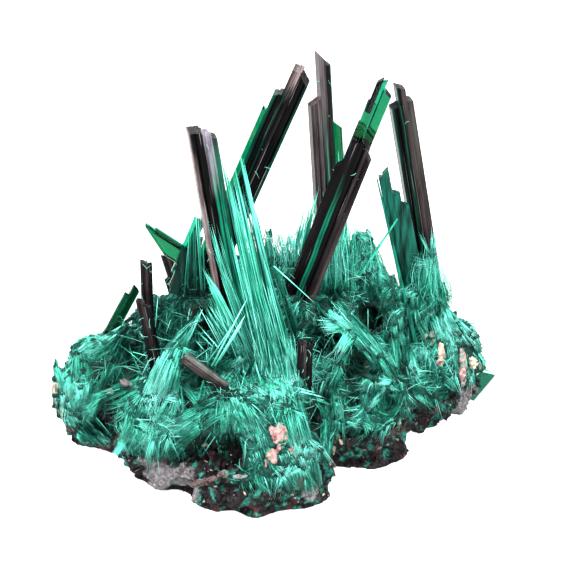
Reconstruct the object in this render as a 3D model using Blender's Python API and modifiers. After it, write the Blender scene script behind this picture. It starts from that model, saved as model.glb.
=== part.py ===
"""A brochantite specimen: dark prismatic crystals and sprays of green needles on a lump of rock.

The front faces -Y, and the rock rests on its flat underside at z = 0.
Sizes and places are in millimetres. Each mesh is made at that size and then brought to metres.
"""

import math
import random

import bmesh
import bpy
from mathutils import Matrix, Vector, noise
from mathutils.bvhtree import BVHTree

MM = 0.001
SEED = 11
GAP = 0.3  # clearance between pieces that touch
SKY = 40.0  # a height above everything
CENTRE = (0.9, 0.1, 0.0)  # moves everything so that the box's middle is at x = y = 0

# The mound of rock and fibres, as rounded masses: centre, then half sizes.
LUMPS = {
    "core": ((-2.0, 2.9, 4.6), (9.3, 6.4, 9.6)),
    "front_lobe": ((-2.6, -5.2, 2.8), (5.4, 5.4, 6.0)),
    "front_foot": ((-0.4, -6.0, 1.2), (3.7, 3.4, 2.9)),
    "front_shoulder": ((-8.0, -3.0, 3.2), (4.6, 4.2, 4.6)),
    "left_wing": ((-11.5, 3.0, 3.0), (6.0, 5.2, 4.9)),
    "left_end": ((-15.3, 3.5, 3.1), (2.6, 3.0, 2.7)),
    "left_slope": ((-8.6, 2.5, 7.0), (3.4, 4.2, 4.6)),
    "right_lobe": ((5.0, 0.7, 3.4), (4.5, 4.7, 6.2)),
    "right_hill": ((5.5, 3.5, 8.5), (3.8, 3.8, 5.2)),
    "right_wing": ((10.3, 5.0, 4.2), (4.6, 4.2, 4.9)),
    "right_end": ((13.2, 6.0, 3.0), (2.4, 2.7, 2.7)),
    "back_slope": ((-1.0, 7.0, 3.0), (10.0, 4.0, 7.0)),
}
LUMP_VOXEL = 0.4
MOUND_TRIANGLES = 3000
KNOBBLE_SIZE = 2.6  # width of the bumps over the mound
KNOBBLE_HEIGHT = 1.0
KNOBBLE_SINK = 0.1  # how far the skin drops before the crests stand on it
LEDGE_SIZE = 1.5  # width of the sharper crests between the bumps
LEDGE_HEIGHT = 0.19
LEDGE_SHARE = 0.22  # a smaller share makes the crests narrower
LEDGE_SHIFT = Vector((9.0, 4.0, 2.0))

# Dark hollows between the fibres: a point of the surface, then the mouth's radius and the depth.
PITS = (
    ((-8.8, -1.2, 10.3), 1.5, 1.7),
    ((-10.8, -1.1, 8.4), 1.3, 1.4),
    ((-13.6, -1.0, 6.4), 1.1, 1.2),
    ((-13.7, -1.4, 2.2), 1.7, 1.5),
    ((-6.0, -1.5, 11.2), 1.1, 1.1),
    ((-6.7, -5.3, 6.8), 1.1, 1.4),
    ((-1.9, -8.3, 7.3), 1.0, 1.2),
    ((1.7, -6.3, 6.1), 1.1, 1.2),
    ((-4.3, -9.6, 4.8), 2.0, 1.6),
    ((3.0, -1.5, 9.6), 1.3, 1.4),
    ((6.1, 0.4, 10.9), 1.2, 1.3),
    ((4.9, -2.6, 8.3), 1.2, 1.2),
    ((4.4, -4.0, 5.8), 0.9, 1.0),
    ((6.3, -4.2, 5.9), 2.0, 0.8),
    ((12.0, 2.7, 8.7), 0.7, 0.8),
    ((13.3, 2.9, 7.2), 0.9, 0.9),
    ((-0.5, -4.5, 8.0), 1.0, 1.1),
    ((9.6, 1.0, 7.0), 1.0, 1.0),
    ((-5.0, 9.5, 6.5), 1.8, 1.5),
    ((3.0, 9.6, 6.0), 1.6, 1.4),
    ((-12.5, 7.0, 5.0), 1.6, 1.3),
    ((9.5, 8.4, 6.0), 1.5, 1.2),
    ((-1.0, 10.5, 3.0), 1.7, 1.2),
)

# The face between rock and fibres: its height at the rim, how it waves, and the dome under the crest.
RIM_HEIGHT = 3.3
RIM_WAVE = 0.9
ROCK_DOMES = (((-2.0, 2.5), 6.5, 6.0), ((-10.0, 2.5), 4.0, 2.6), ((7.5, 3.0), 4.5, 3.4), ((-2.8, -4.5), 3.2, 2.0))
FACE_CELLS = 12

# Each crystal: its root, its tip, how far it is turned about its length in degrees, and its columns.
# A column has the place of its middle across and into the crystal, its width and depth, where it ends
# as a share of the crystal's length, and how far its end falls from left to right for each millimetre.
CRYSTALS = {
    "left_prism": (
        (-4.05, -0.5, 11.4),
        (-5.9, -2.0, 25.9),
        12,
        (
            (-0.45, 0.0, 0.85, 1.5, 0.99, 0.05),
            (0.18, 0.12, 0.7, 1.36, 0.972, 0.1),
            (0.62, 0.05, 0.8, 1.07, 0.95, 0.6),
        ),
    ),
    "back_left_prism": (
        (-6.6, 4.3, 11.0),
        (0.85, 1.6, 29.2),
        -10,
        (
            (0.6, 0.0, 1.02, 1.5, 0.965, 0.9),
            (0.06, 0.18, 0.7, 1.4, 0.98, -0.1),
            (-0.5, 0.05, 0.7, 1.2, 0.875, -0.3),
            (-0.9, 0.1, 0.5, 0.8, 0.79, 0.3),
        ),
    ),
    "back_prism": (
        (3.6, 5.6, 9.8),
        (2.4, 5.6, 28.9),
        15,
        (
            (-0.12, 0.0, 0.5, 1.3, 0.99, 1.2),
            (0.3, 0.1, 0.45, 1.2, 0.955, 0.0),
            (-0.72, 0.02, 0.8, 1.1, 0.815, -0.6),
            (0.8, -0.12, 0.6, 0.94, 0.72, 0.9),
        ),
    ),
    "front_prism": (
        (0.1, 1.0, 10.0),
        (6.6, -1.5, 29.2),
        -14,
        (
            (-0.12, 0.0, 0.6, 1.1, 0.985, -0.9),
            (0.42, 0.06, 0.7, 1.34, 0.95, 0.6),
            (-0.3, 0.15, 0.6, 1.24, 0.9, 0.2),
            (-0.42, -0.04, 0.5, 0.98, 0.83, -0.4),
            (-0.76, 0.12, 0.5, 0.96, 0.655, -0.8),
        ),
    ),
    "right_prism": (
        (11.7, 6.4, 6.0),
        (7.85, 5.0, 27.0),
        10,
        (
            (0.0, 0.1, 0.65, 1.2, 0.98, 0.5),
            (-0.48, 0.0, 0.85, 1.4, 0.92, -0.3),
            (0.4, 0.16, 0.72, 1.26, 0.93, 0.3),
        ),
    ),
    "right_side_prism": (
        (9.6, 4.6, 8.0),
        (7.0, 4.0, 20.6),
        0,
        (
            (0.0, 0.0, 0.5, 0.7, 1.0, -0.8),
            (-0.35, 0.1, 0.4, 0.6, 0.97, 0.4),
            (0.58, 0.04, 0.6, 0.7, 0.86, 0.5),
        ),
    ),
    "short_upright_prism": (
        (-10.1, 0.3, 9.0),
        (-10.05, 0.3, 15.1),
        8,
        ((-0.15, 0.0, 0.55, 0.7, 1.0, 0.3), (0.2, 0.05, 0.45, 0.52, 0.97, -0.2)),
    ),
    "dark_bar_prism": (
        (-9.2, -1.6, 6.4),
        (-10.2, -2.0, 13.2),
        -12,
        ((-0.25, 0.0, 0.65, 0.8, 1.0, 0.4), (0.28, 0.1, 0.6, 0.66, 0.93, 0.3)),
    ),
    "clear_blade": (
        (-5.0, 1.7, 12.7),
        (-9.7, 0.9, 16.3),
        0,
        ((0.0, 0.0, 0.62, 0.35, 1.0, -1.6), (-0.5, 0.06, 0.7, 0.3, 0.72, 1.2)),
    ),
    "lying_prism": (
        (-3.2, -4.9, 6.8),
        (-7.1, -5.6, 10.4),
        20,
        ((0.0, 0.0, 0.8, 0.7, 1.0, 0.1), (0.1, 0.4, 0.5, 0.4, 0.96, 0.0)),
    ),
    "stub_prism": (
        (1.1, -3.6, 5.6),
        (1.2, -3.9, 10.7),
        6,
        ((-0.2, 0.0, 0.6, 0.8, 1.0, -0.3), (0.3, 0.05, 0.55, 0.62, 0.97, 0.2)),
    ),
    "end_blade": (
        (14.0, 5.6, 1.4),
        (15.4, 5.3, 3.6),
        0,
        ((0.0, 0.0, 1.2, 0.35, 1.0, -0.3),),
    ),
    "slope_blade_high": (
        (-13.6, 3.4, 7.0),
        (-11.1, 3.0, 11.8),
        10,
        ((0.0, 0.0, 0.6, 0.5, 1.0, 0.6), (-0.4, 0.1, 0.4, 0.38, 0.86, 0.3)),
    ),
    "rear_prism": (
        (-7.4, 8.0, 5.6),
        (-9.8, 10.2, 12.4),
        10,
        ((0.0, 0.0, 0.9, 0.9, 1.0, 0.4), (0.55, 0.1, 0.6, 0.6, 0.85, 0.2), (-0.5, 0.12, 0.5, 0.52, 0.74, -0.4)),
    ),
    "rear_short_prism": (
        (4.6, 8.4, 5.4),
        (6.0, 10.6, 10.4),
        -8,
        ((0.0, 0.0, 0.7, 0.7, 1.0, -0.4), (-0.45, 0.1, 0.5, 0.44, 0.83, 0.3)),
    ),
}
CHAMFER = 0.22  # share of a column's thinner side that its upright edges lose
ROOT_STEP = 0.13  # each next column of a crystal reaches this much deeper

CLEAR = {"clear_blade", "slope_blade_high", "end_blade", "right_side_prism"}

# Sprays of straight needles that grew together: for each needle its root, tip and thickness at the root.
SHEAVES = {
    "centre_sheaf": (
        ((-1.8, -3.0, 7.4), (-4.4, -2.9, 24.0), 0.75),
        ((-1.3, -3.1, 7.2), (-3.2, -2.7, 23.2), 0.6),
        ((-0.9, -3.0, 7.4), (-2.8, -2.6, 21.7), 0.6),
        ((-0.4, -2.8, 7.6), (-2.3, -2.4, 19.4), 0.6),
        ((0.0, -2.5, 8.0), (-1.8, -2.2, 16.6), 0.55),
        ((-3.0, -3.2, 7.8), (-5.6, -3.2, 17.4), 0.6),
        ((-3.5, -3.1, 8.0), (-6.2, -3.2, 16.4), 0.5),
        ((-2.5, -3.3, 7.8), (-5.1, -3.3, 17.0), 0.6),
        ((-2.1, -3.4, 7.6), (-3.9, -3.2, 18.7), 0.6),
        ((-1.5, -3.7, 7.0), (-3.0, -3.5, 15.0), 0.6),
    ),
    "back_sheaf": (
        ((0.7, 3.6, 11.4), (2.1, 3.4, 19.9), 0.55),
        ((0.45, 3.55, 11.4), (1.7, 3.4, 19.2), 0.55),
        ((0.2, 3.5, 11.6), (1.0, 3.3, 18.2), 0.5),
        ((0.95, 3.65, 11.4), (2.2, 3.5, 17.6), 0.5),
        ((-0.05, 3.45, 11.7), (0.2, 3.2, 16.8), 0.5),
    ),
    "long_needle": (((9.9, 2.3, 5.9), (6.4, 3.4, 20.2), 0.4),),
    "cross_needle": (((4.9, 2.2, 12.6), (7.9, 2.7, 17.4), 0.3),),
    "left_sheaf": (
        ((-6.0, 0.5, 12.0), (-6.4, 0.2, 19.4), 0.5),
        ((-6.35, 0.5, 12.0), (-6.9, 0.2, 18.5), 0.5),
        ((-5.7, 0.5, 12.2), (-6.1, 0.2, 17.6), 0.45),
    ),
}
NEEDLE_TIP = 0.12  # thickness of a spray's needle at its tip
NEEDLE_SIDES = 5

# Tufts of fibres that stand out of the crust, one body with it: root, tip, width at the root.
TUFTS = (
    ((4.8, 3.0, 11.5), (4.9, 3.0, 18.6), 2.2),
    ((5.9, 3.2, 11.4), (5.7, 3.2, 17.0), 2.0),
    ((3.9, 3.2, 11.6), (3.9, 2.9, 16.2), 1.6),
    ((6.6, 3.4, 11.0), (6.3, 3.4, 15.0), 1.6),
    ((10.2, 4.0, 8.4), (10.7, 4.2, 14.4), 1.6),
    ((11.1, 4.4, 7.8), (11.6, 4.4, 12.0), 1.3),
    ((9.0, 3.6, 8.4), (9.3, 3.2, 12.6), 1.3),
    ((-5.6, -6.0, 6.0), (-4.4, -8.0, 9.4), 2.0),
    ((-3.2, -6.2, 6.2), (-3.1, -8.2, 9.3), 2.1),
    ((-8.4, -2.0, 6.6), (-5.9, -2.9, 12.6), 2.0),
    ((-9.2, -2.8, 5.8), (-7.2, -3.6, 10.8), 1.9),
    ((-7.6, -2.4, 6.6), (-4.8, -4.6, 11.4), 1.8),
    ((-9.0, -3.4, 5.8), (-12.4, -3.6, 0.9), 2.0),
    ((-10.4, -1.8, 6.0), (-12.6, -2.6, 3.4), 1.6),
    ((-15.8, 2.8, 3.8), (-17.7, 2.4, 6.4), 1.2),
    ((-14.0, 2.0, 5.4), (-11.1, 0.2, 11.0), 1.4),
    ((-12.8, 0.8, 5.4), (-12.9, -0.6, 8.4), 1.5),
    ((-8.2, 1.0, 10.6), (-6.9, 0.3, 14.4), 1.3),
    ((2.2, -0.4, 11.2), (6.6, -2.4, 9.0), 1.5),
    ((6.0, -2.0, 8.2), (9.0, -2.6, 5.0), 1.6),
    ((3.4, -2.0, 8.0), (6.6, -3.6, 7.6), 1.3),
    ((-1.6, 4.0, 12.6), (-1.2, 4.3, 16.4), 1.1),
    ((0.4, 3.2, 11.8), (0.2, 3.2, 15.2), 1.3),
    ((-3.4, 0.6, 11.4), (-2.9, -0.4, 14.2), 1.4),
    ((-15.0, 3.8, 4.4), (-15.7, 3.6, 7.0), 1.3),
    ((11.8, 4.4, 6.4), (13.3, 3.9, 8.8), 1.4),
)
TUFT_SIDES = 6
TUFT_TIP = 0.14
SPINES = 52  # short spines spread over the crust
SPINE_LENGTH = (1.0, 1.9)
SPINE_WIDTH = (0.7, 1.2)
SPINE_SIDES = 4
SPINE_AREA = ((-18.0, 16.5), (-11.0, 11.5))  # where the spines are dropped on the mound, in x and in y
SPINE_FLOOR = 5.3  # none grows lower than this
SPINE_ROOT = 0.6  # depth of their roots in the crust

COLOURS = {
    "rock": ((0.035, 0.028, 0.03), 0.75),
    "fibre": ((0.05, 0.55, 0.36), 0.55),
    "dark_crystal": ((0.004, 0.012, 0.01), 0.15),
    "clear_crystal": ((0.0, 0.28, 0.13), 0.12),
}


def material(name):
    """A finish from COLOURS, made once and then shared."""
    found = bpy.data.materials.get(name)
    if found:
        return found
    colour, roughness = COLOURS[name]
    found = bpy.data.materials.new(name)
    found.use_nodes = True
    shader = found.node_tree.nodes["Principled BSDF"]
    shader.inputs["Base Color"].default_value = (*colour, 1.0)
    shader.inputs["Roughness"].default_value = roughness
    shader.inputs["Metallic"].default_value = 0.0
    found.diffuse_color = (*colour, 1.0)
    return found


def object_from(bm, name, collection):
    """Turns a bmesh into an object of that collection."""
    mesh = bpy.data.meshes.new(name)
    bm.to_mesh(mesh)
    bm.free()
    obj = bpy.data.objects.new(name, mesh)
    collection.objects.link(obj)
    return obj


def apply_modifiers(obj):
    """Keeps what the object's modifiers make as its own mesh."""
    graph = bpy.context.evaluated_depsgraph_get()
    made = bpy.data.meshes.new_from_object(obj.evaluated_get(graph))
    obj.modifiers.clear()
    obj.data = made


def combine(obj, tool, operation, overlapping=False):
    """Joins, cuts or crosses obj with tool, whose own bodies may overlap. The tool is then removed."""
    change = obj.modifiers.new(operation.title(), "BOOLEAN")
    change.operation = operation
    change.object = tool
    change.use_self = overlapping
    apply_modifiers(obj)
    bpy.data.objects.remove(tool)


def keep_largest(obj):
    """Drops the crumbs that a cut leaves, so that one body is left."""
    bm = bmesh.new()
    bm.from_mesh(obj.data)
    left = set(bm.verts)
    bodies = []
    while left:
        body, front = set(), [left.pop()]
        while front:
            vert = front.pop()
            body.add(vert)
            near = {edge.other_vert(vert) for edge in vert.link_edges} & left
            left -= near
            front.extend(near)
        bodies.append(body)
    bodies.sort(key=len)
    bmesh.ops.delete(bm, geom=[vert for body in bodies[:-1] for vert in body], context="VERTS")
    bm.to_mesh(obj.data)
    bm.free()


def lumps_bmesh():
    """The rounded masses of the mound as overlapping balls."""
    bm = bmesh.new()
    for centre, half in LUMPS.values():
        place = Matrix.Translation(centre) @ Matrix.Diagonal((*half, 1.0))
        bmesh.ops.create_icosphere(bm, subdivisions=4, radius=1.0, matrix=place)
    return bm


def knobble(point, normal):
    """Moves a point of the mound out into a bump or a crest, or in between them."""
    bump = noise.noise(point / KNOBBLE_SIZE)
    crest = 1.0 - abs(noise.noise(point / LEDGE_SIZE + LEDGE_SHIFT)) / LEDGE_SHARE
    return point + normal * (KNOBBLE_HEIGHT * bump + LEDGE_HEIGHT * crest - KNOBBLE_SINK)


def pit_depth(point):
    """How far a point of the mound sinks into the hollows near it."""
    depth = 0.0
    for place, radius, deep in PITS:
        share = (point - Vector(place)).length / radius
        if share < 1.0:
            depth = max(depth, deep * (1.0 - share**3))
    return depth


def reskin(obj):
    """Gives an object one even skin, without the parts that lie inside it."""
    skin = obj.modifiers.new("Skin", "REMESH")
    skin.mode = "VOXEL"
    skin.voxel_size = LUMP_VOXEL
    apply_modifiers(obj)


def make_mound(collection):
    """The whole mound, rock and fibres together, before it is parted."""
    mound = object_from(lumps_bmesh(), "mound", collection)
    reskin(mound)
    normals = [vert.normal.copy() for vert in mound.data.vertices]
    for vert, normal in zip(mound.data.vertices, normals):
        place = knobble(vert.co, normal)
        vert.co = place - normal * pit_depth(place)
    reskin(mound)
    simpler = mound.modifiers.new("Simpler", "DECIMATE")
    simpler.ratio = MOUND_TRIANGLES / (2 * len(mound.data.polygons))
    simpler.use_collapse_triangulate = True
    apply_modifiers(mound)
    return mound


def face_height(x, y):
    """Height of the face between the rock and the fibres."""
    height = RIM_HEIGHT + RIM_WAVE * math.sin(0.55 * x + 0.4) * math.cos(0.5 * y - 0.3)
    for centre, reach, rise in ROCK_DOMES:
        away = math.dist(centre, (x, y)) / reach
        height += rise * math.exp(-(away**2) * 2.0)
    return height


def layer(name, offset, flat, collection):
    """A block whose one face follows the rock's upper face, moved by offset, and whose other is flat."""
    bm = bmesh.new()
    bmesh.ops.create_grid(bm, x_segments=FACE_CELLS + 4, y_segments=FACE_CELLS, size=20.0)
    for vert in bm.verts:
        vert.co.z = face_height(vert.co.x, vert.co.y) + offset
    bmesh.ops.triangulate(bm, faces=bm.faces[:], quad_method="FIXED")
    grown = bmesh.ops.extrude_face_region(bm, geom=bm.faces[:])
    for item in grown["geom"]:
        if isinstance(item, bmesh.types.BMVert):
            item.co.z = flat
    bmesh.ops.recalc_face_normals(bm, faces=bm.faces[:])
    return object_from(bm, name, collection)


def column(width, depth, low, high, fall, chamfer):
    """One upright column of a crystal with chamfered edges and a slanting end."""
    bm = bmesh.new()
    bmesh.ops.create_cube(bm, size=1.0)
    bmesh.ops.scale(bm, vec=(width, depth, high - low), verts=bm.verts[:])
    bmesh.ops.translate(bm, vec=(0.0, 0.0, (high + low) / 2), verts=bm.verts[:])
    if chamfer:
        upright = [edge for edge in bm.edges if abs((edge.verts[0].co - edge.verts[1].co).z) > 0.5 * (high - low)]
        cut = chamfer * min(width, depth)
        bmesh.ops.bevel(bm, geom=upright, offset=cut, segments=1, profile=0.5, affect="EDGES", material=-1)
    for vert in bm.verts:
        if vert.co.z > (high + low) / 2:
            vert.co.z -= fall * vert.co.x
    return bm


def along(root, tip, turn):
    """The place of a shape that is modelled along +Z from 0, set from root towards tip."""
    line = (Vector(tip) - Vector(root)).normalized()
    side = (Vector((1.0, 0.0, 0.0)) - line * line.x).normalized()
    deep = line.cross(side)
    axes = Matrix((side, deep, line)).transposed().to_4x4()
    return Matrix.Translation(root) @ axes @ Matrix.Rotation(math.radians(turn), 4, "Z")


def crystal_columns(name, spare=0.0):
    """The columns of a crystal. With some spare on every side they are square-edged sockets for it."""
    root, tip, turn, columns = CRYSTALS[name]
    length = (Vector(tip) - Vector(root)).length
    place = along(root, tip, turn)
    chamfer = 0.0 if spare else CHAMFER
    made = []
    for index, (across, deep, width, depth, end, fall) in enumerate(columns):
        low = -spare - index * ROOT_STEP
        bm = column(width + 2 * spare, depth + 2 * spare, low, length * end + spare, fall, chamfer)
        bmesh.ops.translate(bm, vec=(across, deep, 0.0), verts=bm.verts[:])
        bmesh.ops.transform(bm, matrix=place, verts=bm.verts[:])
        made.append(bm)
    return made


def spike(root, tip, thick, sides, end):
    """A closed needle that tapers from root to tip."""
    bm = bmesh.new()
    length = (Vector(tip) - Vector(root)).length
    place = along(root, tip, 0) @ Matrix.Translation((0.0, 0.0, length / 2))
    bmesh.ops.create_cone(
        bm, cap_ends=True, segments=sides, radius1=thick / 2, radius2=end / 2, depth=length, matrix=place
    )
    return bm


def sheaf_needles(name, spare=0.0):
    """The needles of a spray, each made larger by some spare on every side."""
    made = []
    for root, tip, thick in SHEAVES[name]:
        line = (Vector(tip) - Vector(root)).normalized()
        start = Vector(root) - line * spare
        made.append(spike(start, tip, thick + 2 * spare, NEEDLE_SIDES, NEEDLE_TIP + 2 * spare))
    return made


def gathered(shapes):
    """Several closed shapes in one bmesh. They may overlap."""
    bm = bmesh.new()
    for shape in shapes:
        mesh = bpy.data.meshes.new("shape")
        shape.to_mesh(mesh)
        shape.free()
        bm.from_mesh(mesh)
        bpy.data.meshes.remove(mesh)
    return bm


def joined(name, shapes, collection):
    """Closed shapes that overlap, joined in one body."""
    first, *rest = [object_from(shape, name, collection) for shape in shapes]
    for other in rest:
        combine(first, other, "UNION")
    first.name = name
    return first


def spine_places(mound):
    """Roots and tips of the short spines, spread over the crust and leaning downhill."""
    bm = bmesh.new()
    bm.from_mesh(mound.data)
    surface = BVHTree.FromBMesh(bm)
    bm.free()
    rng = random.Random(SEED)
    places = []
    while len(places) < SPINES:
        start = Vector((rng.uniform(*SPINE_AREA[0]), rng.uniform(*SPINE_AREA[1]), SKY))
        hit, normal, _, _ = surface.ray_cast(start, Vector((0.0, 0.0, -1.0)))
        if hit is None or hit.z < SPINE_FLOOR:
            continue
        down = Vector((0.0, 0.0, -1.0)) + normal * normal.z
        side = normal.cross(down) * rng.uniform(-0.7, 0.7)
        lean = (down.normalized() + side + normal * rng.uniform(0.35, 0.8)).normalized()
        root = hit - normal * SPINE_ROOT
        tip = hit + lean * rng.uniform(*SPINE_LENGTH)
        places.append((root, tip, rng.uniform(*SPINE_WIDTH)))
    return places


def grow_tufts(mound, collection):
    """Joins the tufts and the short spines to the mound, as one body."""
    for places, sides in ((spine_places(mound), SPINE_SIDES), (TUFTS, TUFT_SIDES)):
        tufts = gathered([spike(root, tip, width, sides, TUFT_TIP) for root, tip, width in places])
        combine(mound, object_from(tufts, "tufts", collection), "UNION", overlapping=True)


def part_mound(mound, collection):
    """Parts the mound into rock and crust with a thin gap between them."""
    crust = bpy.data.objects.new("fibre_crust", mound.data.copy())
    collection.objects.link(crust)
    mound.name = "matrix"
    combine(mound, layer("below", -GAP / 2, 0.0, collection), "INTERSECT")
    combine(crust, layer("above", GAP / 2, SKY, collection), "INTERSECT")
    return mound, crust


def finish(obj, look):
    """Gives a piece its finish and brings it to metres."""
    keep_largest(obj)
    obj.data.transform(Matrix.Scale(MM, 4) @ Matrix.Translation(CENTRE))
    obj.data.materials.clear()
    obj.data.materials.append(material(look))


def build():
    """Makes every piece."""
    for old in list(bpy.data.objects):
        bpy.data.objects.remove(old)
    collection = bpy.data.collections.new("brochantite")
    bpy.context.scene.collection.children.link(collection)

    mound = make_mound(collection)
    grow_tufts(mound, collection)
    rock, crust = part_mound(mound, collection)

    shapes = {name: crystal_columns for name in CRYSTALS} | {name: sheaf_needles for name in SHEAVES}
    for body in (rock, crust):
        sockets = gathered([shape for name, make in shapes.items() for shape in make(name, GAP)])
        combine(body, object_from(sockets, "sockets", collection), "DIFFERENCE", overlapping=True)
    for name, make in shapes.items():
        look = "fibre" if name in SHEAVES else "clear_crystal" if name in CLEAR else "dark_crystal"
        finish(joined(name, make(name), collection), look)
    finish(rock, "rock")
    finish(crust, "fibre")


build()
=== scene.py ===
"""Looks of the brochantite specimen: matted green needles, striated dark prisms and rough dark rock.

Places and sizes below are in millimetres, in the frame that the solids were drawn in. CENTRE moves
that frame to the row frame. The front faces -Y and +Z is up.
"""

import math
import random

import bmesh
import bpy
import numpy as np
from mathutils import Matrix, Vector, noise
from mathutils.bvhtree import BVHTree
from mathutils.kdtree import KDTree


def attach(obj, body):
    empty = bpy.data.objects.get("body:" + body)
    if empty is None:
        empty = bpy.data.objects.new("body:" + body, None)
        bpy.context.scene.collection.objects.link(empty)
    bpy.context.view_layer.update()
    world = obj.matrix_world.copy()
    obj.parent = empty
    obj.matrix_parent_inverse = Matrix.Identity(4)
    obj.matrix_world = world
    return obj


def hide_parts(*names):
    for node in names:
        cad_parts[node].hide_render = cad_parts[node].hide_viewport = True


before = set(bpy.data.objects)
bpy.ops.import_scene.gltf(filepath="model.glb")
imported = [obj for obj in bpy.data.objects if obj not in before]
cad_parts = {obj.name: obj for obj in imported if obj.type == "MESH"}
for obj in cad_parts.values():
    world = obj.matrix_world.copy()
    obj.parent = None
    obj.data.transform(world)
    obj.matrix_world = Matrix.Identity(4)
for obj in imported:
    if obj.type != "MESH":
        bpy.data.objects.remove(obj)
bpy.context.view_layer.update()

MM = 0.001
CENTRE = Vector((0.9, 0.1, 0.0))
SEED = 5
SKIN = 0.2  # voxel size of the new skins of the rock and the crust
HOLLOW_SKIN = 0.25  # voxel size of the body that cuts the hollows
LOCKS = 4600  # locks of felt on the crust
FELT_NEEDLES = 235000  # needles tried all over the crust
COMBED_SHARE = 2.2  # needles tried for each one that a combed patch names
COMBED_SPAN = 0.8  # share of the span that a combed patch names which its needles have
LOOSE_HAIRS = 2200  # hairs tried all over the crust
LONGER_HAIRS = 1.2  # share of the longest length that a nest names which its hairs reach
HAIRS_ON_PRISM = 14
GRIT_GRAINS = 900
PIECE_LIMIT = 190000  # most triangles in a piece of needles
LOOSE_BIT = 400  # bodies with fewer points than this are dropped from the rock and the crust
FRONT_FACING = 0.3  # a normal with less than this along Y faces the side that the photo shows
DOWNWARD = -0.45  # a normal with less than this along Z is an underside, which has no felt
HOLLOW_GAP = 0.35  # most roots of the felt keep this far from the hollows
ROCK_GAP = 0.2  # and all of them this far from the rock
TIP_ROCK_GAP = 0.12  # and their tips this far
SINK = 0.1  # how far below the crust's skin needles and hairs start
# The felt's tone is painted darker in recesses, as shade, and paler on lit ridges, as highlights
RECESS_EDGE = 2.6  # how sharply the felt darkens at the edge of a recess
RECESS_SHADE = 0.92  # and how much of its tone it loses there
RIDGE_EDGE = 1.6  # the same for a ridge, where it gains tone
RIDGE_GAIN = 0.8
BAND_FRAY = 0.08  # how far the upper bands of a prism reach up and down, as a share of its length
SWAY = 0.05  # how far the colour bands of a prism sway, as a share of the width they are set on
FLOOR_COLOUR = (0.28, 0.28, 0.277, 1.0)
FLOOR_GLOW = 0.86
SKY = 0.45

# The photo's camera, 24 degrees above the level, and the number that turns millimetres into its pixels.
VIEW_TILT = math.radians(24.0)
VIEW_AWAY = 114.0
VIEW_HEIGHT = 13.2
VIEW_SCALE = 1597.2
PIXEL = VIEW_AWAY / VIEW_SCALE  # millimetres that one pixel shows at the specimen's middle
VIEW_MIDDLE = 287.5
EYE = Vector((0.0, -VIEW_AWAY * math.cos(VIEW_TILT), VIEW_HEIGHT + VIEW_AWAY * math.sin(VIEW_TILT)))

# Hollows seen in the photo: pixel, half width and half height in pixels, depth in millimetres.
HOLLOWS_SEEN = (
    ((164, 331), (15, 7), 2.0),
    ((137, 356), (14, 15), 2.0),
    ((84, 367), (6, 5), 1.0),
    ((99, 363), (5, 4), 1.0),
    ((106, 377), (7, 8), 1.3),
    ((101, 431), (16, 13), 1.6),
    ((88, 421), (8, 6), 1.2),
    ((202, 325), (10, 22), 1.8),
    ((217, 391), (11, 9), 1.5),
    ((193, 404), (7, 15), 1.4),
    ((166, 440), (6, 4), 0.7),
    ((260, 416), (11, 8), 1.3),
    ((313, 418), (8, 13), 1.6),
    ((205, 447), (13, 10), 1.6),
    ((196, 458), (12, 8), 1.4),
    ((238, 449), (13, 11), 1.7),
    ((222, 462), (16, 7), 0.9),
    ((329, 341), (17, 14), 1.7),
    ((352, 368), (11, 12), 1.6),
    ((372, 317), (16, 13), 2.0),
    ((349, 405), (7, 9), 1.4),
    ((389, 407), (6, 6), 0.9),
    ((450, 328), (3, 4), 0.8),
    ((467, 340), (7, 4), 0.8),
    ((421, 277), (9, 6), 1.2),
    ((422, 380), (7, 8), 0.8),
    ((292, 402), (5, 5), 0.6),
)

# Hollows of the hidden sides: place and radius in millimetres.
HOLLOWS_BEHIND = (
    ((-5.0, 9.9, 6.5), 1.9),
    ((3.0, 10.2, 6.0), 1.7),
    ((-12.7, 7.4, 5.0), 1.6),
    ((9.7, 8.9, 6.0), 1.5),
    ((-1.0, 10.9, 3.0), 1.7),
    ((-16.6, 4.4, 4.4), 1.2),
    ((14.2, 6.2, 5.2), 1.2),
    ((-9.0, 5.0, 11.5), 1.3),
    ((1.5, 7.8, 11.6), 1.4),
    ((7.4, 6.6, 12.0), 1.2),
)

# Raised cords of felt seen in the photo: radius in millimetres, then pixels.
CORDS = (
    (0.36, ((325, 287), (345, 318), (360, 335), (376, 349), (395, 381), (404, 400), (406, 418))),
    (0.3, ((316, 303), (335, 323), (352, 338), (370, 352), (384, 372))),
    (0.45, ((190, 413), (205, 402), (222, 395), (240, 397), (255, 408), (266, 425))),
    (0.4, ((198, 316), (186, 335), (165, 352), (152, 368), (146, 386), (130, 416))),
    (0.3, ((330, 385), (338, 402), (343, 425))),
    (0.25, ((350, 350), (338, 372), (333, 390))),
    (0.28, ((395, 385), (400, 405), (388, 424), (370, 430), (357, 418))),
    (0.35, ((54, 360), (62, 382), (68, 410))),
    (0.35, ((76, 354), (92, 348), (112, 334), (131, 321))),
    (0.4, ((412, 292), (427, 290), (440, 302), (455, 323), (470, 337), (480, 352))),
    (0.3, ((394, 320), (400, 345), (401, 372))),
    (0.3, ((408, 348), (412, 384), (424, 410))),
    (0.3, ((145, 380), (112, 392), (80, 408))),
    (0.3, ((262, 385), (280, 376), (297, 392), (305, 430))),
)

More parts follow.
